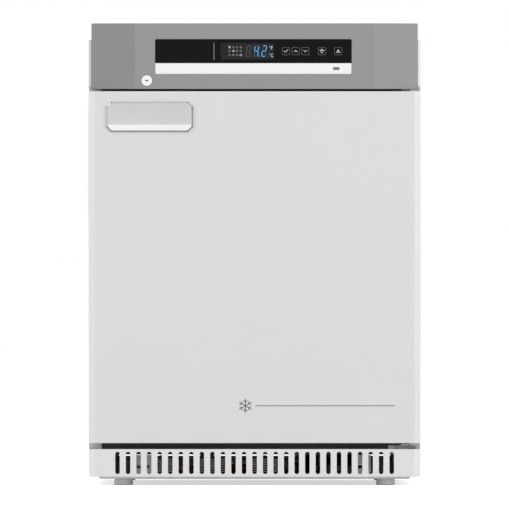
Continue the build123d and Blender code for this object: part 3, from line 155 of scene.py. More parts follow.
ALUMINIUM = Finish("aluminium", (188, 190, 192), 0.36, Texture.BRUSHED, metallic=1.0, mottle=0.1,
                   streak=(900.0, 60.0, 900.0), dust=0.08)
COPPER = Finish("copper", (184, 108, 72), 0.34, Texture.BRUSHED, metallic=1.0, mottle=0.16,
                streak=(300.0, 300.0, 60.0), wear=0.3, wear_colour=(116, 74, 50))
BOARD_GREEN = Finish("board_green", (22, 74, 40), 0.4, mottle=0.12, mottle_scale=260, coat=0.4)
BLACK_ENAMEL = Finish("black_enamel", (24, 24, 26), 0.3, mottle=0.08, grain_scale=500, grain_depth=0.08,
                      coat=0.3, dust=0.16)
BLACK_PLASTIC = Finish("black_plastic", (28, 28, 30), 0.5, mottle=0.06, grain_scale=1300, edge_round=0.5,
                       dust=0.06)
BLACK_RUBBER = Finish("black_rubber", (30, 30, 30), 0.75, mottle=0.08, grain_scale=700, dust=0.15)
GRILLE_WHITE = Finish("grille_white", (226, 226, 225), 0.42, mottle=0.012, edge_round=0.7, coat=0.12)
TRAY_WHITE = Finish("tray_white", (243, 243, 241), 0.45, mottle=0.015, edge_round=0.4, coat=0.1)
COIL_BLACK = Finish("coil_black", (52, 52, 54), 0.42, mottle=0.1, mottle_scale=80, grain_scale=600, dust=0.12)
FOOT_GREY = Finish("foot_grey", (250, 250, 248), 0.5, mottle=0.03, grain_scale=1200, edge_round=0.5)
WIRE_WHITE = Finish("wire_white", (234, 235, 235), 0.36, mottle=0.015, grain_scale=700, coat=0.25)
LAMP_OPAL = Finish("lamp_opal", (238, 238, 232), 0.45, mottle=0.015, coat=0.2)
# dark grey that is painted shade on the front rails behind the kick grille
RAIL_PAINTED_SHADE = Finish("rail_painted_shade", (66, 66, 67), 0.5, mottle=0.03)
PRINT_GREY = Finish("print_grey", (150, 150, 150), 0.6, mottle=0.03, grain_depth=0.01)
PRINT_LIGHT = Finish("print_light", (214, 214, 214), 0.55, mottle=0.03, grain_depth=0.01)
PRINT_DIM = Finish("print_dim", (128, 128, 128), 0.6, mottle=0.03, grain_depth=0.01)
KEY_LINE = Finish("key_line", (92, 92, 93), 0.6, mottle=0.03, grain_depth=0.01)
SEGMENT_OFF = Finish("segment_off", (70, 70, 71), 0.5, mottle=0.03, grain_depth=0.01)
SEGMENT_LIT = Finish("segment_lit", (74, 158, 212), 0.5, mottle=0.05, mottle_scale=600, grain_depth=0.01,
                     glow=0.4)
BADGE_PLATE = Finish("badge_plate", (218, 218, 219), 0.34, Texture.BRUSHED, metallic=0.35, mottle=0.05,
                     streak=(40.0, 900.0, 1800.0), edge_round=0.2)
DOOR_MARK = Finish("door_mark", (132, 133, 134), 0.5, mottle=0.03, grain_depth=0.01)


class NodeSheet:
    """Adds nodes to one node tree and joins them."""

    def __init__(self, tree: bpy.types.NodeTree) -> None:
        """Start on the tree that the nodes go into."""
        self.tree = tree

    def add(self, kind: str, settings: dict[str, object] | None = None, **inputs: object) -> bpy.types.Node:
        """Add a node and set its inputs.

        Args:
            kind: Blender's type name of the node.
            settings: Properties of the node itself, such as its operation.
            inputs: Values or sockets by input name, with underscores for spaces.

        Returns:
            The new node.
        """
        node = self.tree.nodes.new(kind)
        for key, value in (settings or {}).items():
            setattr(node, key, value)
        for key, value in inputs.items():
            target = node.inputs[int(key[1:])] if key[1:].isdigit() else node.inputs[key.replace("_", " ")]
            if isinstance(value, Socket):
                self.tree.links.new(value, target)
            else:
                target.default_value = value
        return node

    @classmethod
    def fresh(cls, owner: bpy.types.ID) -> "NodeSheet":
        """Empty the nodes of a material or world and start on them.

        Args:
            owner: The material or world.

        Returns:
            The sheet.
        """
        owner.use_nodes = True
        owner.node_tree.nodes.clear()
        return cls(owner.node_tree)

    def seen(self) -> Socket:
        """Give 1 for what the camera sees, also through glass, and 0 for what only gives light."""
        ray = self.add("ShaderNodeLightPath").outputs
        return self.maths("MAXIMUM", ray["Is Camera Ray"], ray["Is Transmission Ray"])

    def join(self, source: Socket, target: Socket) -> None:
        """Link an output to an input."""
        self.tree.links.new(source, target)

    def maths(self, operation: str, first: object, second: object = 0.0) -> Socket:
        """Add a Math node for two numbers or sockets, and give its result."""
        return self.add("ShaderNodeMath", {"operation": operation}, _0=first, _1=second).outputs[0]

    def mixed(self, share: object, first: object, second: object, blend: str = "MIX") -> Socket:
        """Add a Mix node for two colours, with the share of the second, and give the mixed colour."""
        settings = {"data_type": "RGBA", "blend_type": blend}
        return self.add("ShaderNodeMix", settings, _0=share, _6=first, _7=second).outputs[2]


class Group(NodeSheet):
    """A shader node group with its input and output nodes."""

    def __init__(self, name: str, inputs: dict[str, str], outputs: dict[str, str]) -> None:
        """Make an empty group with its sockets.

        Args:
            name: The group's name.
            inputs: Kinds of socket by input name: Color, Float or Vector.
            outputs: Kinds of socket by output name.
        """
        super().__init__(bpy.data.node_groups.new(name, "ShaderNodeTree"))
        for way, sockets in (("INPUT", inputs), ("OUTPUT", outputs)):
            for label, kind in sockets.items():
                self.tree.interface.new_socket(name=label, in_out=way, socket_type=f"NodeSocket{kind}")
        self.given = self.add("NodeGroupInput").outputs
        self.result = self.add("NodeGroupOutput").inputs

    def give(self, label: str, source: Socket) -> None:
        """Send a socket out of the group under an output's name."""
        self.join(source, self.result[label])

    def place(self) -> Socket:
        """Give the socket of the Object coordinates."""
        return self.add("ShaderNodeTexCoord").outputs["Object"]

    def noise(self, place: Socket, scale: object, detail: float) -> Socket:
        """Add a noise with its scale and its number of finer layers, and give its socket."""
        return self.add("ShaderNodeTexNoise", None, Vector=place, Scale=scale, Detail=detail).outputs["Fac"]

    def times(self, colour: Socket, level: Socket) -> Socket:
        """Multiply a colour by a grey level, and give the new colour."""
        grey = self.add("ShaderNodeCombineColor", None, Red=level, Green=level, Blue=level).outputs[0]
        return self.mixed(1.0, colour, grey, "MULTIPLY")


class Effects:
    """The shader node groups that the finishes share, each built once."""

    COLOUR = {"Colour": "Color"}
    SHADED = COLOUR | {"Roughness": "Float"}
    MOTTLE_DETAIL = 4.0
    GRAIN_DETAIL = 2.0
    LINE_DETAIL = 3.0
    ROUGH_GAIN = 2.5
    LEAST_ROUGHNESS = 0.05
    CELL_GAIN = 1.4
    WEAR_RADIUS = 0.0009
    WEAR_GAIN = 9.0
    WEAR_PATCH = 160.0
    WEAR_DETAIL = 4.0
    DUST_START = 0.5
    DUST_GAIN = 1.6
    DUST_PATCH = 30.0
    DUST_DETAIL = 6.0
    DUST_COLOUR: Rgb = (168, 164, 156)

    def __init__(self) -> None:
        """Build every group."""
        self.groups: dict[str, bpy.types.NodeTree] = {}
        self._paint()
        self._brushed()
        self._spangle()
        self._foam()
        self._edge_wear()
        self._dust()
        self._wings()
        self._frame()

    def _start(self, name: str, inputs: dict[str, str], outputs: dict[str, str]) -> Group:
        """Make an empty group and keep it by its name.

        Args:
            name: The group's name.
            inputs: Kinds of socket by input name.
            outputs: Kinds of socket by output name.

        Returns:
            The group.
        """
        group = Group(name, inputs, outputs)
        self.groups[name] = group.tree
        return group

    def _surface(self, texture: Texture, **extra: str) -> Group:
        """Start a group that gives colour, roughness and height, with its extra kinds of input."""
        inputs = self.SHADED | {"Mottle": "Float", "Mottle Scale": "Float", "Grain Scale": "Float"} | extra
        return self._start(texture.value, inputs, self.SHADED | {"Height": "Float"})

    def _shade(self, group: Group, pattern: Socket, height: Socket) -> None:
        """Let a pattern from 0 to 1 shift the colour and the roughness, and send out the height.

        Args:
            group: The group.
            pattern: The pattern's socket.
            height: The height's socket.
        """
        given = group.given
        swing = group.maths("MULTIPLY", group.maths("SUBTRACT", pattern, 0.5), given["Mottle"])
        gain = group.maths("ADD", group.maths("MULTIPLY", swing, 2.0), 1.0)
        rough = group.maths("ADD", given["Roughness"], group.maths("MULTIPLY", swing, self.ROUGH_GAIN))
        group.give("Colour", group.times(given["Colour"], gain))
        group.give("Roughness", group.maths("MAXIMUM", rough, self.LEAST_ROUGHNESS))
        group.give("Height", height)

    def _paint(self) -> None:
        """Sprayed or moulded skin: slow mottling and a fine pebbled height."""
        group = self._surface(Texture.PAINT)
        place = group.place()
        slow = group.noise(place, group.given["Mottle Scale"], self.MOTTLE_DETAIL)
        self._shade(group, slow, group.noise(place, group.given["Grain Scale"], self.GRAIN_DETAIL))

    def _brushed(self) -> None:
        """Drawn or brushed metal: noise pulled out along the grain."""
        group = self._surface(Texture.BRUSHED, Streak="Vector")
        place = group.place()
        along = group.given["Streak"]
        pulled = group.add("ShaderNodeVectorMath", {"operation": "MULTIPLY"}, _0=place, _1=along)
        lines = group.noise(pulled.outputs[0], 1.0, self.LINE_DETAIL)
        slow = group.noise(place, group.given["Mottle Scale"], self.GRAIN_DETAIL)
        self._shade(group, group.maths("MULTIPLY", group.maths("ADD", lines, slow), 0.5), lines)

    def _spangle(self) -> None:
        """Zinc-dipped sheet: flat crystals that each catch the light a little differently."""
        group = self._surface(Texture.SPANGLE)
        place = group.place()
        crystal = group.add("ShaderNodeTexVoronoi", None, Vector=place, Scale=group.given["Mottle Scale"])
        split = group.add("ShaderNodeSeparateColor", None, Color=crystal.outputs["Color"])
        fine = group.noise(place, group.given["Grain Scale"], self.GRAIN_DETAIL)
        self._shade(group, split.outputs[0], fine)

    def _foam(self) -> None:
        """Blown foam: small round cells."""
        group = self._surface(Texture.FOAM)
        scale = group.given["Mottle Scale"]
        cells = group.add("ShaderNodeTexVoronoi", None, Vector=group.place(), Scale=scale)
        distance = group.maths("MULTIPLY", cells.outputs["Distance"], self.CELL_GAIN)
        hollow = group.maths("MINIMUM", distance, 1.0)
        self._shade(group, hollow, hollow)

    def _edge_wear(self) -> None:
        """Rubbed edges: another colour where the surface turns sharply."""
        inputs = self.COLOUR | {"Wear Colour": "Color", "Amount": "Float"}
        group = self._start("edge_wear", inputs, self.COLOUR)
        given = group.given
        edge = group.add("ShaderNodeBevel", {"samples": BEVEL_SAMPLES}, Radius=self.WEAR_RADIUS)
        flat = group.add("ShaderNodeNewGeometry").outputs["Normal"]
        settings = {"operation": "DOT_PRODUCT"}
        facing = group.add("ShaderNodeVectorMath", settings, _0=edge.outputs[0], _1=flat)
        turned = group.maths("SUBTRACT", 1.0, facing.outputs["Value"])
        patch = group.noise(group.place(), self.WEAR_PATCH, self.WEAR_DETAIL)
        rubbed = group.maths("MULTIPLY", group.maths("MULTIPLY", turned, self.WEAR_GAIN), patch)
        share = group.maths("MINIMUM", group.maths("MULTIPLY", rubbed, given["Amount"]), 1.0)
        group.give("Colour", group.mixed(share, given["Colour"], given["Wear Colour"]))

    def _dust(self) -> None:
        """Settled dust: a pale film on what faces up, thicker in patches."""
        group = self._start("settled_dust", self.COLOUR | {"Amount": "Float"}, self.COLOUR)
        normal = group.add("ShaderNodeNewGeometry").outputs["Normal"]
        upward = group.add("ShaderNodeSeparateXYZ", None, Vector=normal).outputs["Z"]
        level = group.add("ShaderNodeMapRange", None, Value=upward, From_Min=self.DUST_START, From_Max=1.0)
        patch = group.noise(group.place(), self.DUST_PATCH, self.DUST_DETAIL)
        thick = group.maths("MULTIPLY", group.maths("MULTIPLY", level.outputs[0], patch), self.DUST_GAIN)
        share = group.maths("MULTIPLY", thick, group.given["Amount"])
        group.give("Colour", group.mixed(share, group.given["Colour"], linear(self.DUST_COLOUR)))

    def _wings(self) -> None:
        """Painted shade on the left facet and painted light on the right one, for light that falls from the
        right.
        """
        inputs = self.COLOUR | {"Start": "Float", "Left": "Float", "Right": "Float"}
        group = self._start("wing_painted_shading", inputs, self.COLOUR)
        given = group.given
        x = group.add("ShaderNodeSeparateXYZ", None, Vector=group.place()).outputs["X"]
        on_left = group.maths("LESS_THAN", x, group.maths("MULTIPLY", given["Start"], -1.0))
        on_right = group.maths("GREATER_THAN", x, given["Start"])
        drop = group.maths("MULTIPLY", on_left, group.maths("SUBTRACT", given["Left"], 1.0))
        gain = group.maths("MULTIPLY", on_right, group.maths("SUBTRACT", given["Right"], 1.0))
        level = group.maths("ADD", group.maths("ADD", drop, gain), 1.0)
        group.give("Colour", group.times(given["Colour"], level))

    def _frame(self) -> None:
        """Painted shade on the front return of the cabinet sides round the compartment, in the recess behind
        the door.
        """
        inputs = self.COLOUR | {"Frame Colour": "Color", "Reach": "Float", "Line": "Float"}
        group = self._start("recess_painted_shade", inputs, self.COLOUR)
        given = group.given
        split = group.add("ShaderNodeSeparateXYZ", None, Vector=group.place())
        inward = group.maths("LESS_THAN", group.maths("ABSOLUTE", split.outputs["X"]), given["Reach"])
        forward = group.maths("LESS_THAN", split.outputs["Y"], given["Line"])
        share = group.maths("MULTIPLY", inward, forward)
        group.give("Colour", group.mixed(share, given["Colour"], given["Frame Colour"]))


class Paintbox:
    """Makes each finish's material once and puts it on pieces."""

    BUMP_STRENGTH = 0.35

    def __init__(self) -> None:
        """Build the shared effects."""
        self.effects = Effects()
        self.made: dict[str, bpy.types.Material] = {}

    def material(self, finish: Finish) -> bpy.types.Material:
        """Give a finish's material.

        Args:
            finish: The finish.

        Returns:
            Its material, made at the first call.
        """
        if finish.name not in self.made:
            self.made[finish.name] = self._build(finish)
        return self.made[finish.name]

    def _group(self, sheet: NodeSheet, name: str, **inputs: object) -> bpy.types.Node:
        """Place a shared group in a material with its values or sockets, and give its node."""
        return sheet.add("ShaderNodeGroup", {"node_tree": self.effects.groups[name]}, **inputs)

    def _build(self, finish: Finish) -> bpy.types.Material:
        """Build a finish's material.

        Args:
            finish: The finish.

        Returns:
            The new material.
        """
        material = bpy.data.materials.new(finish.name)
        sheet = NodeSheet.fresh(material)
        values: dict[str, object] = {
            "Colour": linear(finish.colour),
            "Roughness": finish.roughness,
            "Mottle": finish.mottle,
            "Mottle_Scale": finish.mottle_scale,
            "Grain_Scale": finish.grain_scale,
        }
        if finish.texture is Texture.BRUSHED:
            values["Streak"] = finish.streak
        skin = self._group(sheet, finish.texture.value, **values)
        colour = skin.outputs["Colour"]
        # painted shade on the left wing and painted light on the right wing
        if finish.painted_shade_left != finish.painted_light_right:
            wings = self._group(sheet, "wing_painted_shading", Colour=colour, Start=finish.wing_start,
                                Left=finish.painted_shade_left, Right=finish.painted_light_right)
            colour = wings.outputs["Colour"]
        # painted shade on the front returns of the cabinet sides
        if finish.frame_colour:
            framed = self._group(sheet, "recess_painted_shade", Colour=colour, Frame_Colour=linear(finish.frame_colour),
                                 Reach=finish.frame_reach, Line=finish.frame_line)
            colour = framed.outputs["Colour"]
        if finish.wear > 0:
            worn = self._group(sheet, "edge_wear", Colour=colour, Wear_Colour=linear(finish.wear_colour),
                               Amount=finish.wear)
            colour = worn.outputs["Colour"]
        if finish.dust > 0:
            colour = self._group(sheet, "settled_dust", Colour=colour, Amount=finish.dust).outputs["Colour"]
        bump = sheet.add("ShaderNodeBump", None, Strength=self.BUMP_STRENGTH,
                         Distance=finish.grain_depth * MM, Height=skin.outputs["Height"])
        if finish.edge_round > 0:
            rounded = sheet.add("ShaderNodeBevel", {"samples": BEVEL_SAMPLES}, Radius=finish.edge_round * MM)
            sheet.join(rounded.outputs[0], bump.inputs["Normal"])
        shader = sheet.add("ShaderNodeBsdfPrincipled", None, Base_Color=colour,
                           Roughness=skin.outputs["Roughness"], Normal=bump.outputs["Normal"],
                           Metallic=finish.metallic, Coat_Weight=finish.coat,
                           Specular_IOR_Level=finish.specular)
        if finish.glow > 0:
            sheet.join(colour, shader.inputs["Emission Color"])
            shader.inputs["Emission Strength"].default_value = finish.glow
        output = sheet.add("ShaderNodeOutputMaterial")
        sheet.join(shader.outputs[0], output.inputs["Surface"])
        return material

    def dress(self, finish: Finish, *names: str) -> None:
        """Put a finish on CAD nodes.

        Args:
            finish: The finish.
            names: The nodes that get it.
        """
        for name in names:
            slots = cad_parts[name].data.materials
            slots.clear()
            slots.append(self.material(finish))
        LOG.info("%s on %s", finish.name, ", ".join(names))

    def coat(self, piece: Piece, finish: Finish, body: str, slot: str) -> None:
        """Put a finish on a new piece and fix it to a body.

        Args:
            piece: The piece.
            finish: Its finish.
            body: The body that it rides on.
            slot: The CAD material slot that it belongs to; not used.
        """
        piece.data.materials.clear()
        piece.data.materials.append(self.material(finish))
        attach(piece, body)
        LOG.info("%s rides on %s", piece.name, body)


class Bench:
    """The modelling bench: primitives and edit-mode tools with plain names. Lengths are in millimetres."""

    ALIGNED = 0.99
    SMOOTH_ANGLE = math.radians(35)
    SOFT_FACETS = 2
    STROKE_CORNER_SHARE = 0.32
    STROKE_FACETS = 2
    LETTER_STEPS = 4
    LETTER_DEPTH = 0.01

    @staticmethod
    def clear() -> None:
        """Leave edit mode and deselect everything."""
        if bpy.context.object and bpy.context.object.mode != "OBJECT":
            bpy.ops.object.mode_set(mode="OBJECT")
        bpy.ops.object.select_all(action="DESELECT")

    @staticmethod
    def choose(piece: Piece) -> None:
        """Select one piece alone and make it the active one.

        Args:
            piece: The piece.
        """
        Bench.clear()
        piece.select_set(True)
        bpy.context.view_layer.objects.active = piece

    @staticmethod
    def _named(name: str) -> Piece:
        """Name the new primitive and set its place and size in its mesh.

        Args:
            name: The piece's name.

        Returns:
            The piece.
        """
        piece = bpy.context.object
        piece.name = name
        piece.data.name = name
        bpy.ops.object.transform_apply(location=True, rotation=True, scale=True)
        return piece

    @staticmethod
    def block(name: str, low: Point, high: Point) -> Piece:
        """Add a block between two corners.

        Args:
            name: The piece's name.
            low: Its lowest corner.
            high: Its highest corner.

        Returns:
            The block.
        """
        Bench.clear()
        middle = metres(*[(a + b) / 2 for a, b in zip(low, high)])
        lengths = metres(*[b - a for a, b in zip(low, high)])
        bpy.ops.mesh.primitive_cube_add(size=1, location=middle, scale=lengths)
        return Bench._named(name)

    @staticmethod
    def disc(name: str, centre: Point, radius: float, depth: float, sides: int) -> Piece:
        """Add a many-sided disc that faces the front.

        Args:
            name: The piece's name.
            centre: Its middle.
            radius: Its radius.
            depth: Its thickness.
            sides: How many sides it has.

        Returns:
            The disc.
        """
        Bench.clear()
        bpy.ops.mesh.primitive_cylinder_add(vertices=sides, radius=radius * MM, depth=depth * MM,
                                            location=metres(*centre), rotation=(math.pi / 2, 0, 0))
        return Bench._named(name)

    @staticmethod
    def edit(piece: Piece, mode: str) -> None:
        """Clear a piece's selection in edit mode, so that the next one can be picked.

        Args:
            piece: The piece.
            mode: What is picked in it: VERT, EDGE or FACE.
        """
        Bench.choose(piece)
        bpy.ops.object.mode_set(mode="EDIT")
        bpy.ops.mesh.select_mode(type=mode)
        bpy.ops.mesh.select_all(action="DESELECT")
        bpy.ops.object.mode_set(mode="OBJECT")

    @staticmethod
    def bevel_edges(piece: Piece, width: float, segments: int = 1,
                    below: float = math.inf) -> None:
        """Bevel the edges of a piece that run from front to back.

        Args:
            piece: The piece.
            width: The bevel's width.
            segments: How many facets it has.
            below: The z that the edges lie under.
        """
        Bench.edit(piece, "EDGE")
        points = piece.data.vertices
        for edge in piece.data.edges:
            start, end = (points[index].co for index in edge.vertices)
            level = abs((end - start).normalized().y) > Bench.ALIGNED
            edge.select = level and start.z < below * MM
        bpy.ops.object.mode_set(mode="EDIT")
        bpy.ops.mesh.bevel(offset=width * MM, offset_type="OFFSET", segments=segments, affect="EDGES")
        bpy.ops.object.mode_set(mode="OBJECT")

    @staticmethod
    def inset_front(piece: Piece, rim: float, lift: float) -> None:
        """Raise or sink the largest front face of a piece inside a rim.

        Args:
            piece: The piece.
            rim: The rim's width.
            lift: How far the face rises; a negative lift sinks it.
        """
        Bench.edit(piece, "FACE")
        facing = [face for face in piece.data.polygons if -face.normal.y > Bench.ALIGNED]
        max(facing, key=lambda face: face.area).select = True
        bpy.ops.object.mode_set(mode="EDIT")
        bpy.ops.mesh.inset(thickness=rim * MM, depth=lift * MM)
        bpy.ops.object.mode_set(mode="OBJECT")

    @staticmethod
    def hollow(piece: Piece, wall: float) -> None:
        """Cut the middle out of a flat plate from front to back, and leave a frame.

        Args:
            piece: The plate, facing the front.
            wall: The frame's width.
        """
        Bench.edit(piece, "FACE")
        for face in piece.data.polygons:
            face.select = abs(face.normal.y) > Bench.ALIGNED
        bpy.ops.object.mode_set(mode="EDIT")
        bpy.ops.mesh.inset(thickness=wall * MM, depth=0.0, use_individual=True)
        bpy.ops.mesh.bridge_edge_loops()
        bpy.ops.object.mode_set(mode="OBJECT")

    @staticmethod
    def copy(piece: Piece, name: str, move: Matrix) -> Piece:
        """Copy a piece with a mesh of its own.

        Args:
            piece: The piece.
            name: The copy's name.
            move: How the copy's mesh is placed.

        Returns:
            The copy.
        """
        twin = piece.copy()
        twin.data = piece.data.copy()
        twin.name = name
        bpy.context.scene.collection.objects.link(twin)
        twin.data.transform(move)
        return twin

    @staticmethod
    def join(name: str, pieces: list[Piece]) -> Piece:
        """Make one piece of several.

        Args:
            name: The piece's name.
            pieces: The pieces to join.

        Returns:
            The joined piece.
        """
        Bench.clear()
        for piece in pieces:
            piece.select_set(True)
        bpy.context.view_layer.objects.active = pieces[0]
        bpy.ops.object.join()
        pieces[0].name = name
        pieces[0].data.name = name
        return pieces[0]

    @staticmethod
    def soften(piece: Piece, width: float) -> None:
        """Round all sharp edges of a piece a little.

        Args:
            piece: The piece.
            width: The rounding's width.
        """
        Bench.choose(piece)
        rounding = piece.modifiers.new("rounding", "BEVEL")
        rounding.width = width * MM
        rounding.segments = Bench.SOFT_FACETS
        rounding.limit_method = "ANGLE"
        bpy.ops.object.modifier_apply(modifier=rounding.name)
        bpy.ops.object.shade_smooth_by_angle(angle=Bench.SMOOTH_ANGLE)

    @staticmethod
    def cut(piece: Piece, tool: Piece) -> None:
        """Cut a tool's shape out of a piece and remove the tool.

        Args:
            piece: The piece.
            tool: The shape that is cut away.
        """
        Bench.choose(piece)
        cutting = piece.modifiers.new("cutting", "BOOLEAN")
        cutting.object = tool
        cutting.operation = "DIFFERENCE"
        cutting.solver = "EXACT"
        bpy.ops.object.modifier_apply(modifier=cutting.name)
        bpy.data.objects.remove(tool)

    @staticmethod
    def stroke(name: str, start: Spot, end: Spot, width: float, front: float,
               depth: float) -> Piece:
        """Add a straight printed stroke with cut corners, seen from the front.

        Args:
            name: The piece's name.
            start: Its first end.
            end: Its last end.
            width: Its width.
            front: Its front face's y.
            depth: Its thickness.

        Returns:
            The stroke.
        """
        run = Vector(end) - Vector(start)
        half = (run.length + width) / 2
        bar = Bench.block(name, (-half, front, -width / 2), (half, front + depth, width / 2))
        Bench.bevel_edges(bar, width * Bench.STROKE_CORNER_SHARE, Bench.STROKE_FACETS)
        middle = (Vector(start) + Vector(end)) / 2
        turn = Matrix.Rotation(-math.atan2(run.y, run.x), 4, "Y")
        bar.data.transform(Matrix.Translation((middle.x * MM, 0, middle.y * MM)) @ turn)
        return bar

    @staticmethod
    def words(name: str, text: str, low: Spot, high: Spot, front: float, depth: float) -> Piece:
        """Add a printed sign that fills a box, seen from the front.

        Args:
            name: The piece's name.
            text: The sign.
            low: The box's lowest corner.
            high: The box's highest corner.
            front: Its front face's y.
            depth: Its thickness.

        Returns:
            The sign as a mesh.
        """
        Bench.clear()
        bpy.ops.object.text_add(rotation=(math.pi / 2, 0, 0))
        sign = bpy.context.object
        sign.data.body = text
        sign.data.resolution_u = Bench.LETTER_STEPS
        sign.data.extrude = Bench.LETTER_DEPTH
        bpy.ops.object.convert(target="MESH")
        sign = Bench._named(name)
        corners = [vertex.co for vertex in sign.data.vertices]
        least = Vector([min(corner[axis] for corner in corners) for axis in range(3)])
        most = Vector([max(corner[axis] for corner in corners) for axis in range(3)])
        span = most - least
        scale = [(high[0] - low[0]) * MM / span.x, depth * MM / span.y, (high[1] - low[1]) * MM / span.z]
        sign.data.transform(Matrix.Translation(-least))
        sign.data.transform(Matrix.Diagonal((*scale, 1)))
        sign.data.transform(Matrix.Translation(metres(low[0], front, low[1])))
        return sign


@dataclass(frozen=True)
class Lamp:
    """Square soft lamp, with its place and width in metres and its power in watts."""

    name: str
    place: Point
    size: float
    power: float


@dataclass
class Studio:
    """Floor, light and camera."""

    scale: float = 1.807
    photo_width: int = 509
    photo_middle_z: float = 417.2
    photo_middle_x: float = -0.2
    distance: float = 25000.0
    sensor: float = 36.0
    sight: float = 100.0
    floor_size: float = 70.0
    floor_drop: float = 0.0005
    floor_paint: Rgb = (236, 236, 236)
    floor_glow: float = 0.62
    sky: float = 0.56
    mirrored_sky: float = 0.8
    aim: Point = (0.0, -0.1, 0.42)
    lamps: tuple[Lamp, ...] = (
        Lamp("lamp_right", (3.2, -1.5, 1.5), 2.2, 57.0),
        Lamp("lamp_left", (-3.2, -1.5, 1.5), 2.2, 53.0),
        Lamp("lamp_above", (0.4, -1.8, 3.4), 2.4, 15.0),
    )

    def _background(self) -> None:
        """Plain white background for the camera and for reflections, and a softer level as light."""
        world = bpy.data.worlds.new("studio")
        bpy.context.scene.world = world
        sheet = NodeSheet.fresh(world)
        light, pale, white = (sheet.add("ShaderNodeBackground", None, Color=WHITE, Strength=level).outputs[0]
                              for level in (self.sky, self.mirrored_sky, 1.0))
        glossy = sheet.add("ShaderNodeLightPath").outputs["Is Glossy Ray"]
        soft = sheet.add("ShaderNodeMixShader", None, Fac=glossy, _1=light, _2=pale)
        both = sheet.add("ShaderNodeMixShader", None, Fac=sheet.seen(), _1=soft.outputs[0], _2=white)
        sheet.add("ShaderNodeOutputWorld", None, Surface=both.outputs[0])

    def _floor(self) -> None:
        """Pale floor that looks white to the camera and still takes the object's shadow."""
        Bench.clear()
        bpy.ops.mesh.primitive_plane_add(size=self.floor_size, location=(0, 0, -self.floor_drop))
        floor = bpy.context.object
        floor.name = "studio_floor"
        material = bpy.data.materials.new("studio_floor")
        sheet = NodeSheet.fresh(material)
        dull = sheet.add("ShaderNodeBsdfDiffuse", None, Color=linear(self.floor_paint))
        glow = sheet.maths("MULTIPLY", sheet.seen(), self.floor_glow)
        white = sheet.add("ShaderNodeEmission", None, Color=WHITE, Strength=glow)
        both = sheet.add("ShaderNodeAddShader", None, _0=dull.outputs[0], _1=white.outputs[0])
        sheet.add("ShaderNodeOutputMaterial", None, Surface=both.outputs[0])
        floor.data.materials.append(material)

    def _light(self, lamp: Lamp) -> None:
        """Add a lamp that looks at the middle of the object.

        Args:
            lamp: The lamp.
        """
        data = bpy.data.lights.new(lamp.name, "AREA")
        data.size = lamp.size
        data.energy = lamp.power
        light = bpy.data.objects.new(lamp.name, data)
        bpy.context.scene.collection.objects.link(light)
        light.location = lamp.place
        towards = Vector(self.aim) - Vector(lamp.place)
        light.rotation_euler = towards.to_track_quat("-Z", "Y").to_euler()
        light.visible_glossy = False

    def _camera(self) -> None:
        """Long-lens camera straight in front, framed as the photograph is."""
        data = bpy.data.cameras.new("camera")
        camera = bpy.data.objects.new("camera", data)
        bpy.context.scene.collection.objects.link(camera)
        front = CAD_BOX[0].y / MM
        data.sensor_width = self.sensor
        data.lens = self.sensor * self.distance / (self.photo_width * self.scale)
        camera.location = metres(self.photo_middle_x, front - self.distance, self.photo_middle_z)
        camera.rotation_euler = Euler((math.pi / 2, 0, 0))
        data.clip_end = self.sight
        bpy.context.scene.camera = camera

    def build(self) -> None:
        """Set the stage."""
        bpy.context.scene.view_settings.view_transform = "Standard"
        self._background()
        self._floor()
        for lamp in self.lamps:
            self._light(lamp)
        self._camera()
        LOG.info("studio is set")


@dataclass
class Cabinet:
    """Outer walls, worktop, fascia shell, hinges and feet."""

    paints: Paintbox

    def build(self) -> None:
        """Dress the cabinet."""
        dress = self.paints.dress
        dress(GRILLE_WHITE, "kick_grille")
        # the side panels' front returns carry painted shade in the recess behind the door
        dress(SIDE_WHITE, "side_panel_left", "side_panel_right")
        # the front rails get painted shade for the shaded rail behind the kick grille
        dress(RAIL_PAINTED_SHADE, "front_rails")
        dress(GALVANISED, "underside_pan", "top_pan", "back_panel", "rear_cover")
        dress(TRAY_WHITE, "base_tray")
        dress(LINER_WHITE, "inner_liner")
        dress(FOAM_CREAM, "cabinet_insulation")
        dress(WORKTOP_GREY, "worktop")
        dress(FASCIA_GREY, "control_fascia")
        dress(CHEEK_WHITE, "fascia_cheeks")
        dress(PLATED_STEEL, "hinge_brackets", "hinge_pins", "foot_nuts")
        dress(FOOT_GREY, "foot_front_left", "foot_front_right", "foot_rear_left", "foot_rear_right")


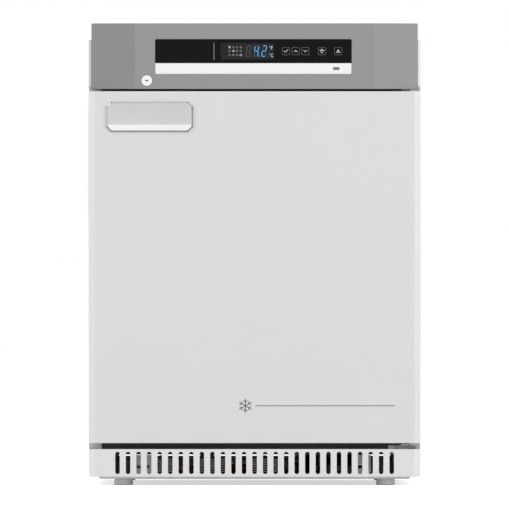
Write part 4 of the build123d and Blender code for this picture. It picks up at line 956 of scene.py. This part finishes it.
@dataclass
class Door:
    """Door, its bare badge plate and the plain mark at its foot."""

    paints: Paintbox
    face: float = -320.0
    badge_left: float = -267.8
    badge_right: float = -111.7
    badge_low: float = 639.0
    badge_high: float = 692.8
    badge_edge: float = 0.7
    badge_lift: float = 1.3
    badge_corner: float = 8.0
    badge_bevel: float = 1.5
    badge_rim: float = 0.5
    badge_sink: float = 0.3
    badge_round: float = 0.2
    rim_line: float = 2.1
    rim_depth: float = 0.36
    band_high: float = 652.0
    band_lift: float = 0.12
    band_cut_share: float = 0.6
    mark_low: float = 131.5
    mark_high: float = 156.1
    mark_left: float = -29.1
    mark_right: float = 253.2
    mark_line: float = 1.7
    mark_ink: float = 0.12
    stripe_gap_share: float = 1.5
    flake_arms: int = 6
    flake_start: float = 30.0
    twig_angle: float = 50.0
    twig_root_share: float = 0.55
    twig_share: float = 0.34

    def _badge(self) -> None:
        """Plate with cut corners and a bevelled raised rim, left bare."""
        base = self.face - self.badge_edge
        plate = Bench.block("badge_plate", (self.badge_left, base, self.badge_low),
                            (self.badge_right, self.face, self.badge_high))
        Bench.bevel_edges(plate, self.badge_corner)
        Bench.inset_front(plate, self.badge_bevel, self.badge_lift)
        Bench.inset_front(plate, self.badge_rim, 0.0)
        Bench.inset_front(plate, self.badge_sink, -self.badge_sink)
        Bench.soften(plate, self.badge_round)
        self.paints.coat(plate, BADGE_PLATE, "door", "plated_steel")
        self._rim(base - self.badge_lift)
        self._band(base - self.badge_lift + self.badge_sink)

    def _rim(self, top: float) -> None:
        """Edge facets of the plate in painted light and shade: painted shade below and on the right, painted
        light on the top and the left, and a painted highlight at the upper left corner.

        Args:
            top: The y of the plate's raised rim.
        """
        half = self.rim_line / 2
        left, right = self.badge_left + half, self.badge_right - half
        low, high = self.badge_low + half, self.badge_high - half
        cut = self.badge_corner
        ring = [(left, low + cut), (left + cut, low), (right - cut, low), (right, low + cut),
                (right, high - cut), (right - cut, high), (left + cut, high), (left, high - cut)]
        # lit and shaded copies of one grey: painted shade, painted light and a painted highlight
        shades = {
            "badge_rim_painted_shade": (RIM_PAINTED_SHADE, (0, 1, 2, 3)),
            "badge_rim_painted_light": (RIM_PAINTED_LIGHT, (4, 5, 7)),
            "badge_rim_painted_highlight": (RIM_PAINTED_HIGHLIGHT, (6,)),
        }
        for name, (finish, sides) in shades.items():
            bars = [Bench.stroke(f"{name}_{side}", ring[side], ring[(side + 1) % len(ring)], self.rim_line,
                                 top - self.mark_ink, self.rim_depth) for side in sides]
            rim = Bench.join(name, bars) if len(bars) > 1 else bars[0]
            self.paints.coat(rim, finish, "door", "plated_steel")

    def _band(self, sunk: float) -> None:
        """White band along the foot of the plate's sunk face.

        Args:
            sunk: The y of the plate's sunk face.
        """
        inner = self.badge_bevel + self.badge_rim + self.badge_sink * 2
        low = self.badge_low + inner
        band = Bench.block("badge_band", (self.badge_left + inner, sunk - self.band_lift, low),
                           (self.badge_right - inner, sunk + self.band_lift, self.band_high))
        cut = self.badge_corner - inner * self.band_cut_share
        Bench.bevel_edges(band, cut, below=(low + self.band_high) / 2)
        self.paints.coat(band, STRIP_WHITE, "door", "strip_white")

    def _flake(self, centre: Spot, size: float, front: float) -> list[Piece]:
        """Arms and twigs of a plain snowflake.

        Args:
            centre: The snowflake's middle.
            size: The length of an arm.
            front: The ink's y.

        Returns:
            The strokes.
        """
        strokes: list[Piece] = []
        for arm in range(self.flake_arms):
            angle = 360 / self.flake_arms * arm + self.flake_start
            way = self._way(angle)
            root = Vector(centre) + way * size * self.twig_root_share
            lines = [(centre, Vector(centre) + way * size)]
            for turn in (-self.twig_angle, self.twig_angle):
                lines.append((root, root + self._way(angle + turn) * size * self.twig_share))
            for number, (start, end) in enumerate(lines):
                strokes.append(Bench.stroke(f"flake_{arm}_{number}", tuple(start), tuple(end), self.mark_line,
                                            front, self.mark_ink))
        return strokes

    @staticmethod
    def _way(angle: float) -> Vector:
        """Give the direction, as x and z, at an angle in degrees from the right, turning upward."""
        return Vector((math.cos(math.radians(angle)), math.sin(math.radians(angle))))

    def _mark(self) -> None:
        """Plain snowflake and stripe printed near the foot of the door."""
        front = self.face - self.mark_ink
        middle = (self.mark_low + self.mark_high) / 2
        size = (self.mark_high - self.mark_low) / 2
        centre = (self.mark_left + size, middle)
        strokes = self._flake(centre, size, front)
        start = (centre[0] + size * self.stripe_gap_share, middle)
        end = (self.mark_right, middle)
        strokes.append(Bench.stroke("stripe", start, end, self.mark_line, front, self.mark_ink))
        self.paints.coat(Bench.join("door_mark", strokes), DOOR_MARK, "door", "plated_steel")

    def build(self) -> None:
        """Dress the door and add its plate and mark."""
        dress = self.paints.dress
        dress(WHITE_STEEL, "door_pan")
        dress(LINER_WHITE, "door_liner")
        dress(STRIP_WHITE, "door_grip")
        dress(FOAM_CREAM, "door_insulation")
        dress(GASKET_GREY, "door_gasket")
        dress(NYLON, "hinge_bushes", "lock_keeper")
        self._badge()
        self._mark()


@dataclass
class ControlInsert:
    """Display, touch keys and signs printed on the black panel."""

    paints: Paintbox
    face: float = -319.4
    ink: float = 0.12
    window_low: Spot = (-61.3, 769.4)
    window_high: Spot = (35.2, 799.6)
    window_corner: float = 1.0
    window_facets: int = 3
    divider_low: Spot = (-73.5, 769.8)
    divider_high: Spot = (-73.5, 799.4)
    divider_width: float = 1.0
    digit_low: float = 774.6
    digit_height: float = 20.6
    digit_width: float = 8.4
    digit_lefts: tuple[float, ...] = (-15.6, -1.0, 13.0)
    digit_lit: tuple[str, ...] = ("", "bcfg", "abged")
    digit_slant: float = 0.12
    segment_width: float = 1.6
    segment_point_share: float = 0.44
    level_trim: float = 2.4
    upright_trim: float = 2.2
    point_lit: int = 1
    point_radius: float = 1.0
    point_gap: float = 1.2
    point_rise: float = 1.1
    point_sides: int = 16
    icon_columns: tuple[float, ...] = (-45.2, -38.3, -31.8, -24.9)
    icon_rows: tuple[float, ...] = (791.8, 784.9, 777.9)
    icon_bright: tuple[tuple[int, int], ...] = ((0, 0), (1, 1), (3, 2))
    icon_size: float = 4.4
    icon_line: float = 0.7
    icon_wall: float = 0.6
    dot_sides: int = 12
    round_sides: int = 20
    icon_kinds: int = 3
    star_lines: int = 3
    star_start: float = 30.0
    icon_ring_share: float = 0.85
    icon_frame_shares: Spot = (0.8, 0.7)
    unit_boxes: tuple[tuple[str, str, Spot, Spot], ...] = (
        ("unit_f", "°F", (26.2, 787.6), (32.8, 794.0)),
        ("unit_c", "°C", (26.2, 774.2), (33.6, 780.4)),
    )
    key_size: float = 14.0
    key_corner: float = 2.2
    key_facets: int = 4
    key_z: float = 784.7
    key_line: float = 0.8
    sign_line: float = 0.9
    key_places: tuple[float, ...] = (56.8, 74.3, 91.6, 121.7, 151.0)
    tick: tuple[Spot, ...] = ((-3.6, 0.2), (-1.2, -2.2), (3.2, 2.8))
    arrow_up: tuple[Spot, ...] = ((-2.6, -1.4), (0.0, 1.8), (2.6, -1.4))
    arrow_down: tuple[Spot, ...] = ((-2.6, 1.4), (0.0, -1.8), (2.6, 1.4))
    sheet_line: tuple[Spot, ...] = ((-3.8, 1.2), (3.8, 1.2))
    sheet_top: tuple[Spot, ...] = ((-2.0, 3.0), (2.0, 3.0))
    sheet_foot: tuple[Spot, ...] = ((-1.8, -0.6), (-1.8, -2.6), (1.8, -2.6), (1.8, -0.6))
    lamp_foot: tuple[Spot, ...] = ((-2.4, -0.8), (-3.4, -2.4), (3.4, -2.4), (2.4, -0.8))
    bulb_rise: float = 0.9
    bulb_radius: float = 1.7

    def _print(self, piece: Piece, finish: Finish, slot: str = "strip_white") -> None:
        """Put ink on a piece of the print and fix it to the cabinet."""
        self.paints.coat(piece, finish, "cabinet", slot)

    def _window(self) -> float:
        """Add the display window and the divider beside it.

        Returns:
            The y of the window's face.
        """
        front = self.face - self.ink
        window = Bench.block("display_window", (self.window_low[0], front, self.window_low[1]),
                             (self.window_high[0], self.face, self.window_high[1]))
        Bench.bevel_edges(window, self.window_corner, self.window_facets)
        self._print(window, WINDOW_GREY, "panel_black")
        divider = Bench.stroke("panel_divider", self.divider_low, self.divider_high, self.divider_width,
                               front, self.ink)
        self._print(divider, PRINT_GREY)
        return front

    def _segment_places(self) -> dict[str, tuple[float, float, bool]]:
        """Lay out the segments of a digit.

        Returns:
            Each segment's middle in the digit and whether it stands upright.
        """
        half = self.digit_width / 2
        edge = self.segment_width / 2
        top = self.digit_height - edge
        middle = self.digit_height / 2
        high = (top + middle) / 2
        low = (edge + middle) / 2
        return {
            "a": (half, top, False),
            "g": (half, middle, False),
            "d": (half, edge, False),
            "f": (edge, high, True),
            "b": (self.digit_width - edge, high, True),
            "e": (edge, low, True),
            "c": (self.digit_width - edge, low, True),
        }

    def _segment(self, length: float, front: float) -> Piece:
        """Make a level segment with pointed ends at the origin.

        Args:
            length: Its length.
            front: The ink's y.

        Returns:
            The segment.
        """
        half = self.segment_width / 2
        model = Bench.block("segment", (-length / 2, front, -half), (length / 2, front + self.ink, half))
        Bench.bevel_edges(model, self.segment_width * self.segment_point_share)
        return model

    def _digits(self, window_face: float) -> None:
        """Add three slanted seven-segment digits with points, lit and unlit.

        Args:
            window_face: The y of the display window's face.
        """
        front = window_face - self.ink
        lit: list[Piece] = []
        unlit: list[Piece] = []
        level = self._segment(self.digit_width - self.level_trim, front)
        upright = self._segment(self.digit_height / 2 - self.upright_trim, front)
        upright.data.transform(Matrix.Rotation(math.pi / 2, 4, "Y"))
        dot = Bench.disc("segment_dot", (0, front + self.ink / 2, 0), self.point_radius, self.ink,
                         self.point_sides)
        lean = Matrix.Identity(4)
        lean[0][2] = self.digit_slant
        for number, (left, on) in enumerate(zip(self.digit_lefts, self.digit_lit)):
            for label, (x, z, stands) in self._segment_places().items():
                shift = self.digit_slant * (z - self.digit_height / 2)
                move = Matrix.Translation(metres(left + x + shift, 0, self.digit_low + z))
                model = upright if stands else level
                copy = Bench.copy(model, f"segment_{number}_{label}", move @ lean if stands else move)
                (lit if label in on else unlit).append(copy)
            place = metres(left + self.digit_width + self.point_gap, 0, self.digit_low + self.point_rise)
            copy = Bench.copy(dot, f"point_{number}", Matrix.Translation(place))
            (lit if number == self.point_lit else unlit).append(copy)
        for model in (level, upright, dot):
            bpy.data.objects.remove(model)
        self._print(Bench.join("digits_lit", lit), SEGMENT_LIT)
        self._print(Bench.join("digits_unlit", unlit), SEGMENT_OFF, "panel_black")

    def _icon(self, name: str, kind: int, spot: Spot, front: float) -> list[Piece]:
        """Make one small state sign: a star, a ring with a dot, or a frame.

        Args:
            name: The sign's name.
            kind: Which of the three it is.
            spot: Its middle.
            front: The ink's y.

        Returns:
            The sign's pieces.
        """
        x, z = spot
        half = self.icon_size / 2
        middle = (x, front + self.ink / 2, z)
        if kind == 0:
            lines: list[Piece] = []
            for turn in range(self.star_lines):
                angle = math.radians(180 / self.star_lines * turn + self.star_start)
                right, up = half * math.cos(angle), half * math.sin(angle)
                lines.append(Bench.stroke(f"{name}_{turn}", (x - right, z - up), (x + right, z + up),
                                          self.icon_line, front, self.ink))
            return lines
        if kind == 1:
            ring = Bench.disc(name, middle, half * self.icon_ring_share, self.ink, self.round_sides)
            Bench.hollow(ring, self.icon_wall)
            return [ring, Bench.disc(f"{name}_dot", middle, self.icon_line, self.ink, self.dot_sides)]
        wide, tall = (half * share for share in self.icon_frame_shares)
        plate = Bench.block(name, (x - wide, front, z - tall), (x + wide, front + self.ink, z + tall))
        Bench.hollow(plate, self.icon_wall)
        return [plate]

    def _icons(self, window_face: float) -> None:
        """Add the grid of small state signs, with three of them brighter.

        Args:
            window_face: The y of the display window's face.
        """
        front = window_face - self.ink
        bright: list[Piece] = []
        dim: list[Piece] = []
        for row, z in enumerate(self.icon_rows):
            for column, x in enumerate(self.icon_columns):
                kind = (row * len(self.icon_columns) + column) % self.icon_kinds
                group = bright if (column, row) in self.icon_bright else dim
                group += self._icon(f"icon_{row}_{column}", kind, (x, z), front)
        self._print(Bench.join("icons_bright", bright), PRINT_LIGHT)
        self._print(Bench.join("icons_dim", dim), PRINT_DIM)

    def _units(self, window_face: float) -> None:
        """Add the signs of the two temperature scales.

        Args:
            window_face: The y of the display window's face.
        """
        front = window_face - self.ink
        signs = [Bench.words(name, sign, low, high, front, self.ink)
                 for name, sign, low, high in self.unit_boxes]
        self._print(Bench.join("unit_signs", signs), PRINT_LIGHT)

    def _key_outlines(self, front: float) -> None:
        """Add the outlines of the touch keys.

        Args:
            front: The ink's y.
        """
        half = self.key_size / 2
        model = Bench.block("key_outline", (-half, front, -half), (half, self.face, half))
        Bench.bevel_edges(model, self.key_corner, self.key_facets)
        Bench.hollow(model, self.key_line)
        outlines = [Bench.copy(model, f"key_outline_{number}", Matrix.Translation(metres(x, 0, self.key_z)))
                    for number, x in enumerate(self.key_places)]
        bpy.data.objects.remove(model)
        self._print(Bench.join("key_outlines", outlines), KEY_LINE)

    def _key_signs(self, front: float) -> None:
        """Add the signs in the touch keys: a tick, two arrows, a sheet and a lamp.

        Args:
            front: The ink's y.
        """
        drawings = ((self.tick,), (self.arrow_up,), (self.arrow_down,),
                    (self.sheet_line, self.sheet_top, self.sheet_foot), (self.lamp_foot,))
        lines: list[tuple[Spot, Spot]] = []
        for x, drawing in zip(self.key_places, drawings):
            for path in drawing:
                points = [(x + right, self.key_z + up) for right, up in path]
                lines += zip(points, points[1:])
        signs = [Bench.stroke(f"key_stroke_{number}", *ends, self.sign_line, front, self.ink)
                 for number, ends in enumerate(lines)]
        bulb = (self.key_places[-1], front + self.ink / 2, self.key_z + self.bulb_rise)
        signs.append(Bench.disc("key_bulb", bulb, self.bulb_radius, self.ink, self.round_sides))
        self._print(Bench.join("key_signs", signs), PRINT_LIGHT)

    def build(self) -> None:
        """Dress the insert and print it."""
        dress = self.paints.dress
        dress(PANEL_BLACK, "display_panel")
        dress(STRIP_WHITE, "insert_strip")
        dress(PLATED_STEEL, "usb_port")
        dress(BOARD_GREEN, "control_board")
        dress(ALUMINIUM, "power_module")
        window_face = self._window()
        self._digits(window_face)
        self._icons(window_face)
        self._units(window_face)
        front = self.face - self.ink
        self._key_outlines(front)
        self._key_signs(front)


@dataclass
class KeyLock:
    """Key lock in the fascia."""

    paints: Paintbox

    def build(self) -> None:
        """Dress the lock."""
        self.paints.dress(LOCK_WHITE, "lock_barrel", "lock_plug")
        self.paints.dress(PLATED_STEEL, "lock_cam", "lock_nut")


@dataclass
class MachineBay:
    """Condensing unit behind the kick grille and the rear cover."""

    paints: Paintbox

    def build(self) -> None:
        """Dress the condensing unit."""
        dress = self.paints.dress
        dress(ALUMINIUM, "condenser_fins")
        dress(COIL_BLACK, "condenser_tube")
        dress(COPPER, "refrigerant_lines")
        dress(GUIDE_GREY, "air_guides")
        dress(BLACK_ENAMEL, "compressor")
        dress(BLACK_RUBBER, "compressor_grommets")
        dress(BLACK_PLASTIC, "terminal_box", "condenser_fan_frame", "condenser_fan_impeller", "cord_gland",
              "water_tray")
        dress(NYLON, "drain_tube")


@dataclass
class Screws:
    """Cross-head screws of the covers and hinge brackets."""

    paints: Paintbox
    head_radius: float = 4.0
    head_height: float = 2.2
    head_round_share: float = 0.4
    head_sides: int = 24
    slot_length: float = 4.6
    slot_width: float = 0.9
    slot_depth: float = 1.1
    slot_clear: float = 1.0
    cover_inset: float = 11.0
    cover_rows: tuple[tuple[str, int], ...] = (("rear_cover", 3), ("back_panel", 4))
    top_row: int = 3
    bracket_step: float = 13.0
    bracket_columns: tuple[int, ...] = (1, 3)
    bracket_plate: float = 3.0

    def _screw(self) -> Piece:
        """Screw head at the origin that looks to the front.

        Returns:
            The screw head.
        """
        head = Bench.disc("screw_head", (0, -self.head_height / 2, 0), self.head_radius, self.head_height,
                          self.head_sides)
        Bench.soften(head, self.head_height * self.head_round_share)
        long, thin = self.slot_length / 2, self.slot_width / 2
        for half_x, half_z in ((long, thin), (thin, long)):
            tool = Bench.block("screw_slot", (-half_x, -self.head_height - self.slot_clear, -half_z),
                               (half_x, self.slot_depth - self.head_height, half_z))
            Bench.cut(head, tool)
        return head

    def _group(self, name: str, places: list[Point], turn: float = 0.0) -> None:
        """Copy the screw to every place of a group.

        Args:
            name: The group's name.
            places: The seats of the heads.
            turn: How far the heads are turned about the upright, in degrees.
        """
        model = self._screw()
        way = Matrix.Rotation(math.radians(turn), 4, "Z")
        copies = [Bench.copy(model, f"{name}_{number}", Matrix.Translation(metres(*place)) @ way)
                  for number, place in enumerate(places)]
        bpy.data.objects.remove(model)
        self.paints.coat(Bench.join(name, copies), PLATED_STEEL, "cabinet", "plated_steel")

    @staticmethod
    def _box(node: str) -> list[Vector]:
        """Give the lowest and the highest corner of a CAD node's box in millimetres."""
        return [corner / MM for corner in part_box(node)]

    @staticmethod
    def _spread(low: float, high: float, count: int) -> list[float]:
        """Give even places from a low end to a high end."""
        return [low + (high - low) * number / (count - 1) for number in range(count)]

    def build(self) -> None:
        """Add the screws."""
        inset = self.cover_inset
        for node, rows in self.cover_rows:
            low, high = self._box(node)
            edge = high.x - inset
            sides = [(side * edge, high.y, z) for side in (-1, 1)
                     for z in self._spread(low.z + inset, high.z - inset, rows)]
            middle = [(x, high.y, high.z - inset) for x in self._spread(-edge / 2, edge / 2, self.top_row)]
            self._group(f"{node}_screws", sides + middle, 180)
        low, high = self._box("evaporator_cover")
        corners = [(x, low.y, z) for x in (low.x + inset, high.x - inset)
                   for z in (low.z + inset, high.z - inset)]
        self._group("evaporator_cover_screws", corners)
        low, high = self._box("hinge_brackets")
        step = self.bracket_step
        heads = [(low.x + step * column, high.y - self.bracket_plate, z) for column in self.bracket_columns
                 for z in (low.z + step, high.z - step)]
        self._group("hinge_bracket_screws", heads)


@dataclass
class Compartment:
    """Shelves and air handling inside the compartment."""

    paints: Paintbox

    def build(self) -> None:
        """Dress the inside."""
        dress = self.paints.dress
        dress(WIRE_WHITE, "shelf_lower", "shelf_middle", "shelf_upper")
        dress(PLATED_STEEL, "shelf_rails", "shelf_clips", "temperature_probe")
        dress(LINER_WHITE, "evaporator_cover")
        dress(ALUMINIUM, "evaporator_coil")
        dress(BLACK_PLASTIC, "evaporator_fan_frame", "evaporator_fan_impeller")
        dress(LAMP_OPAL, "interior_lamp")


def main() -> None:
    """Build every sub-assembly in order."""
    logging.basicConfig(level=logging.INFO, format="%(message)s")
    Studio().build()
    paints = Paintbox()
    for kind in (Cabinet, Door, ControlInsert, KeyLock, MachineBay, Compartment, Screws):
        kind(paints).build()
        LOG.info("%s is done", kind.__name__)
    Bench.clear()


if __name__ == "__main__":
    main()
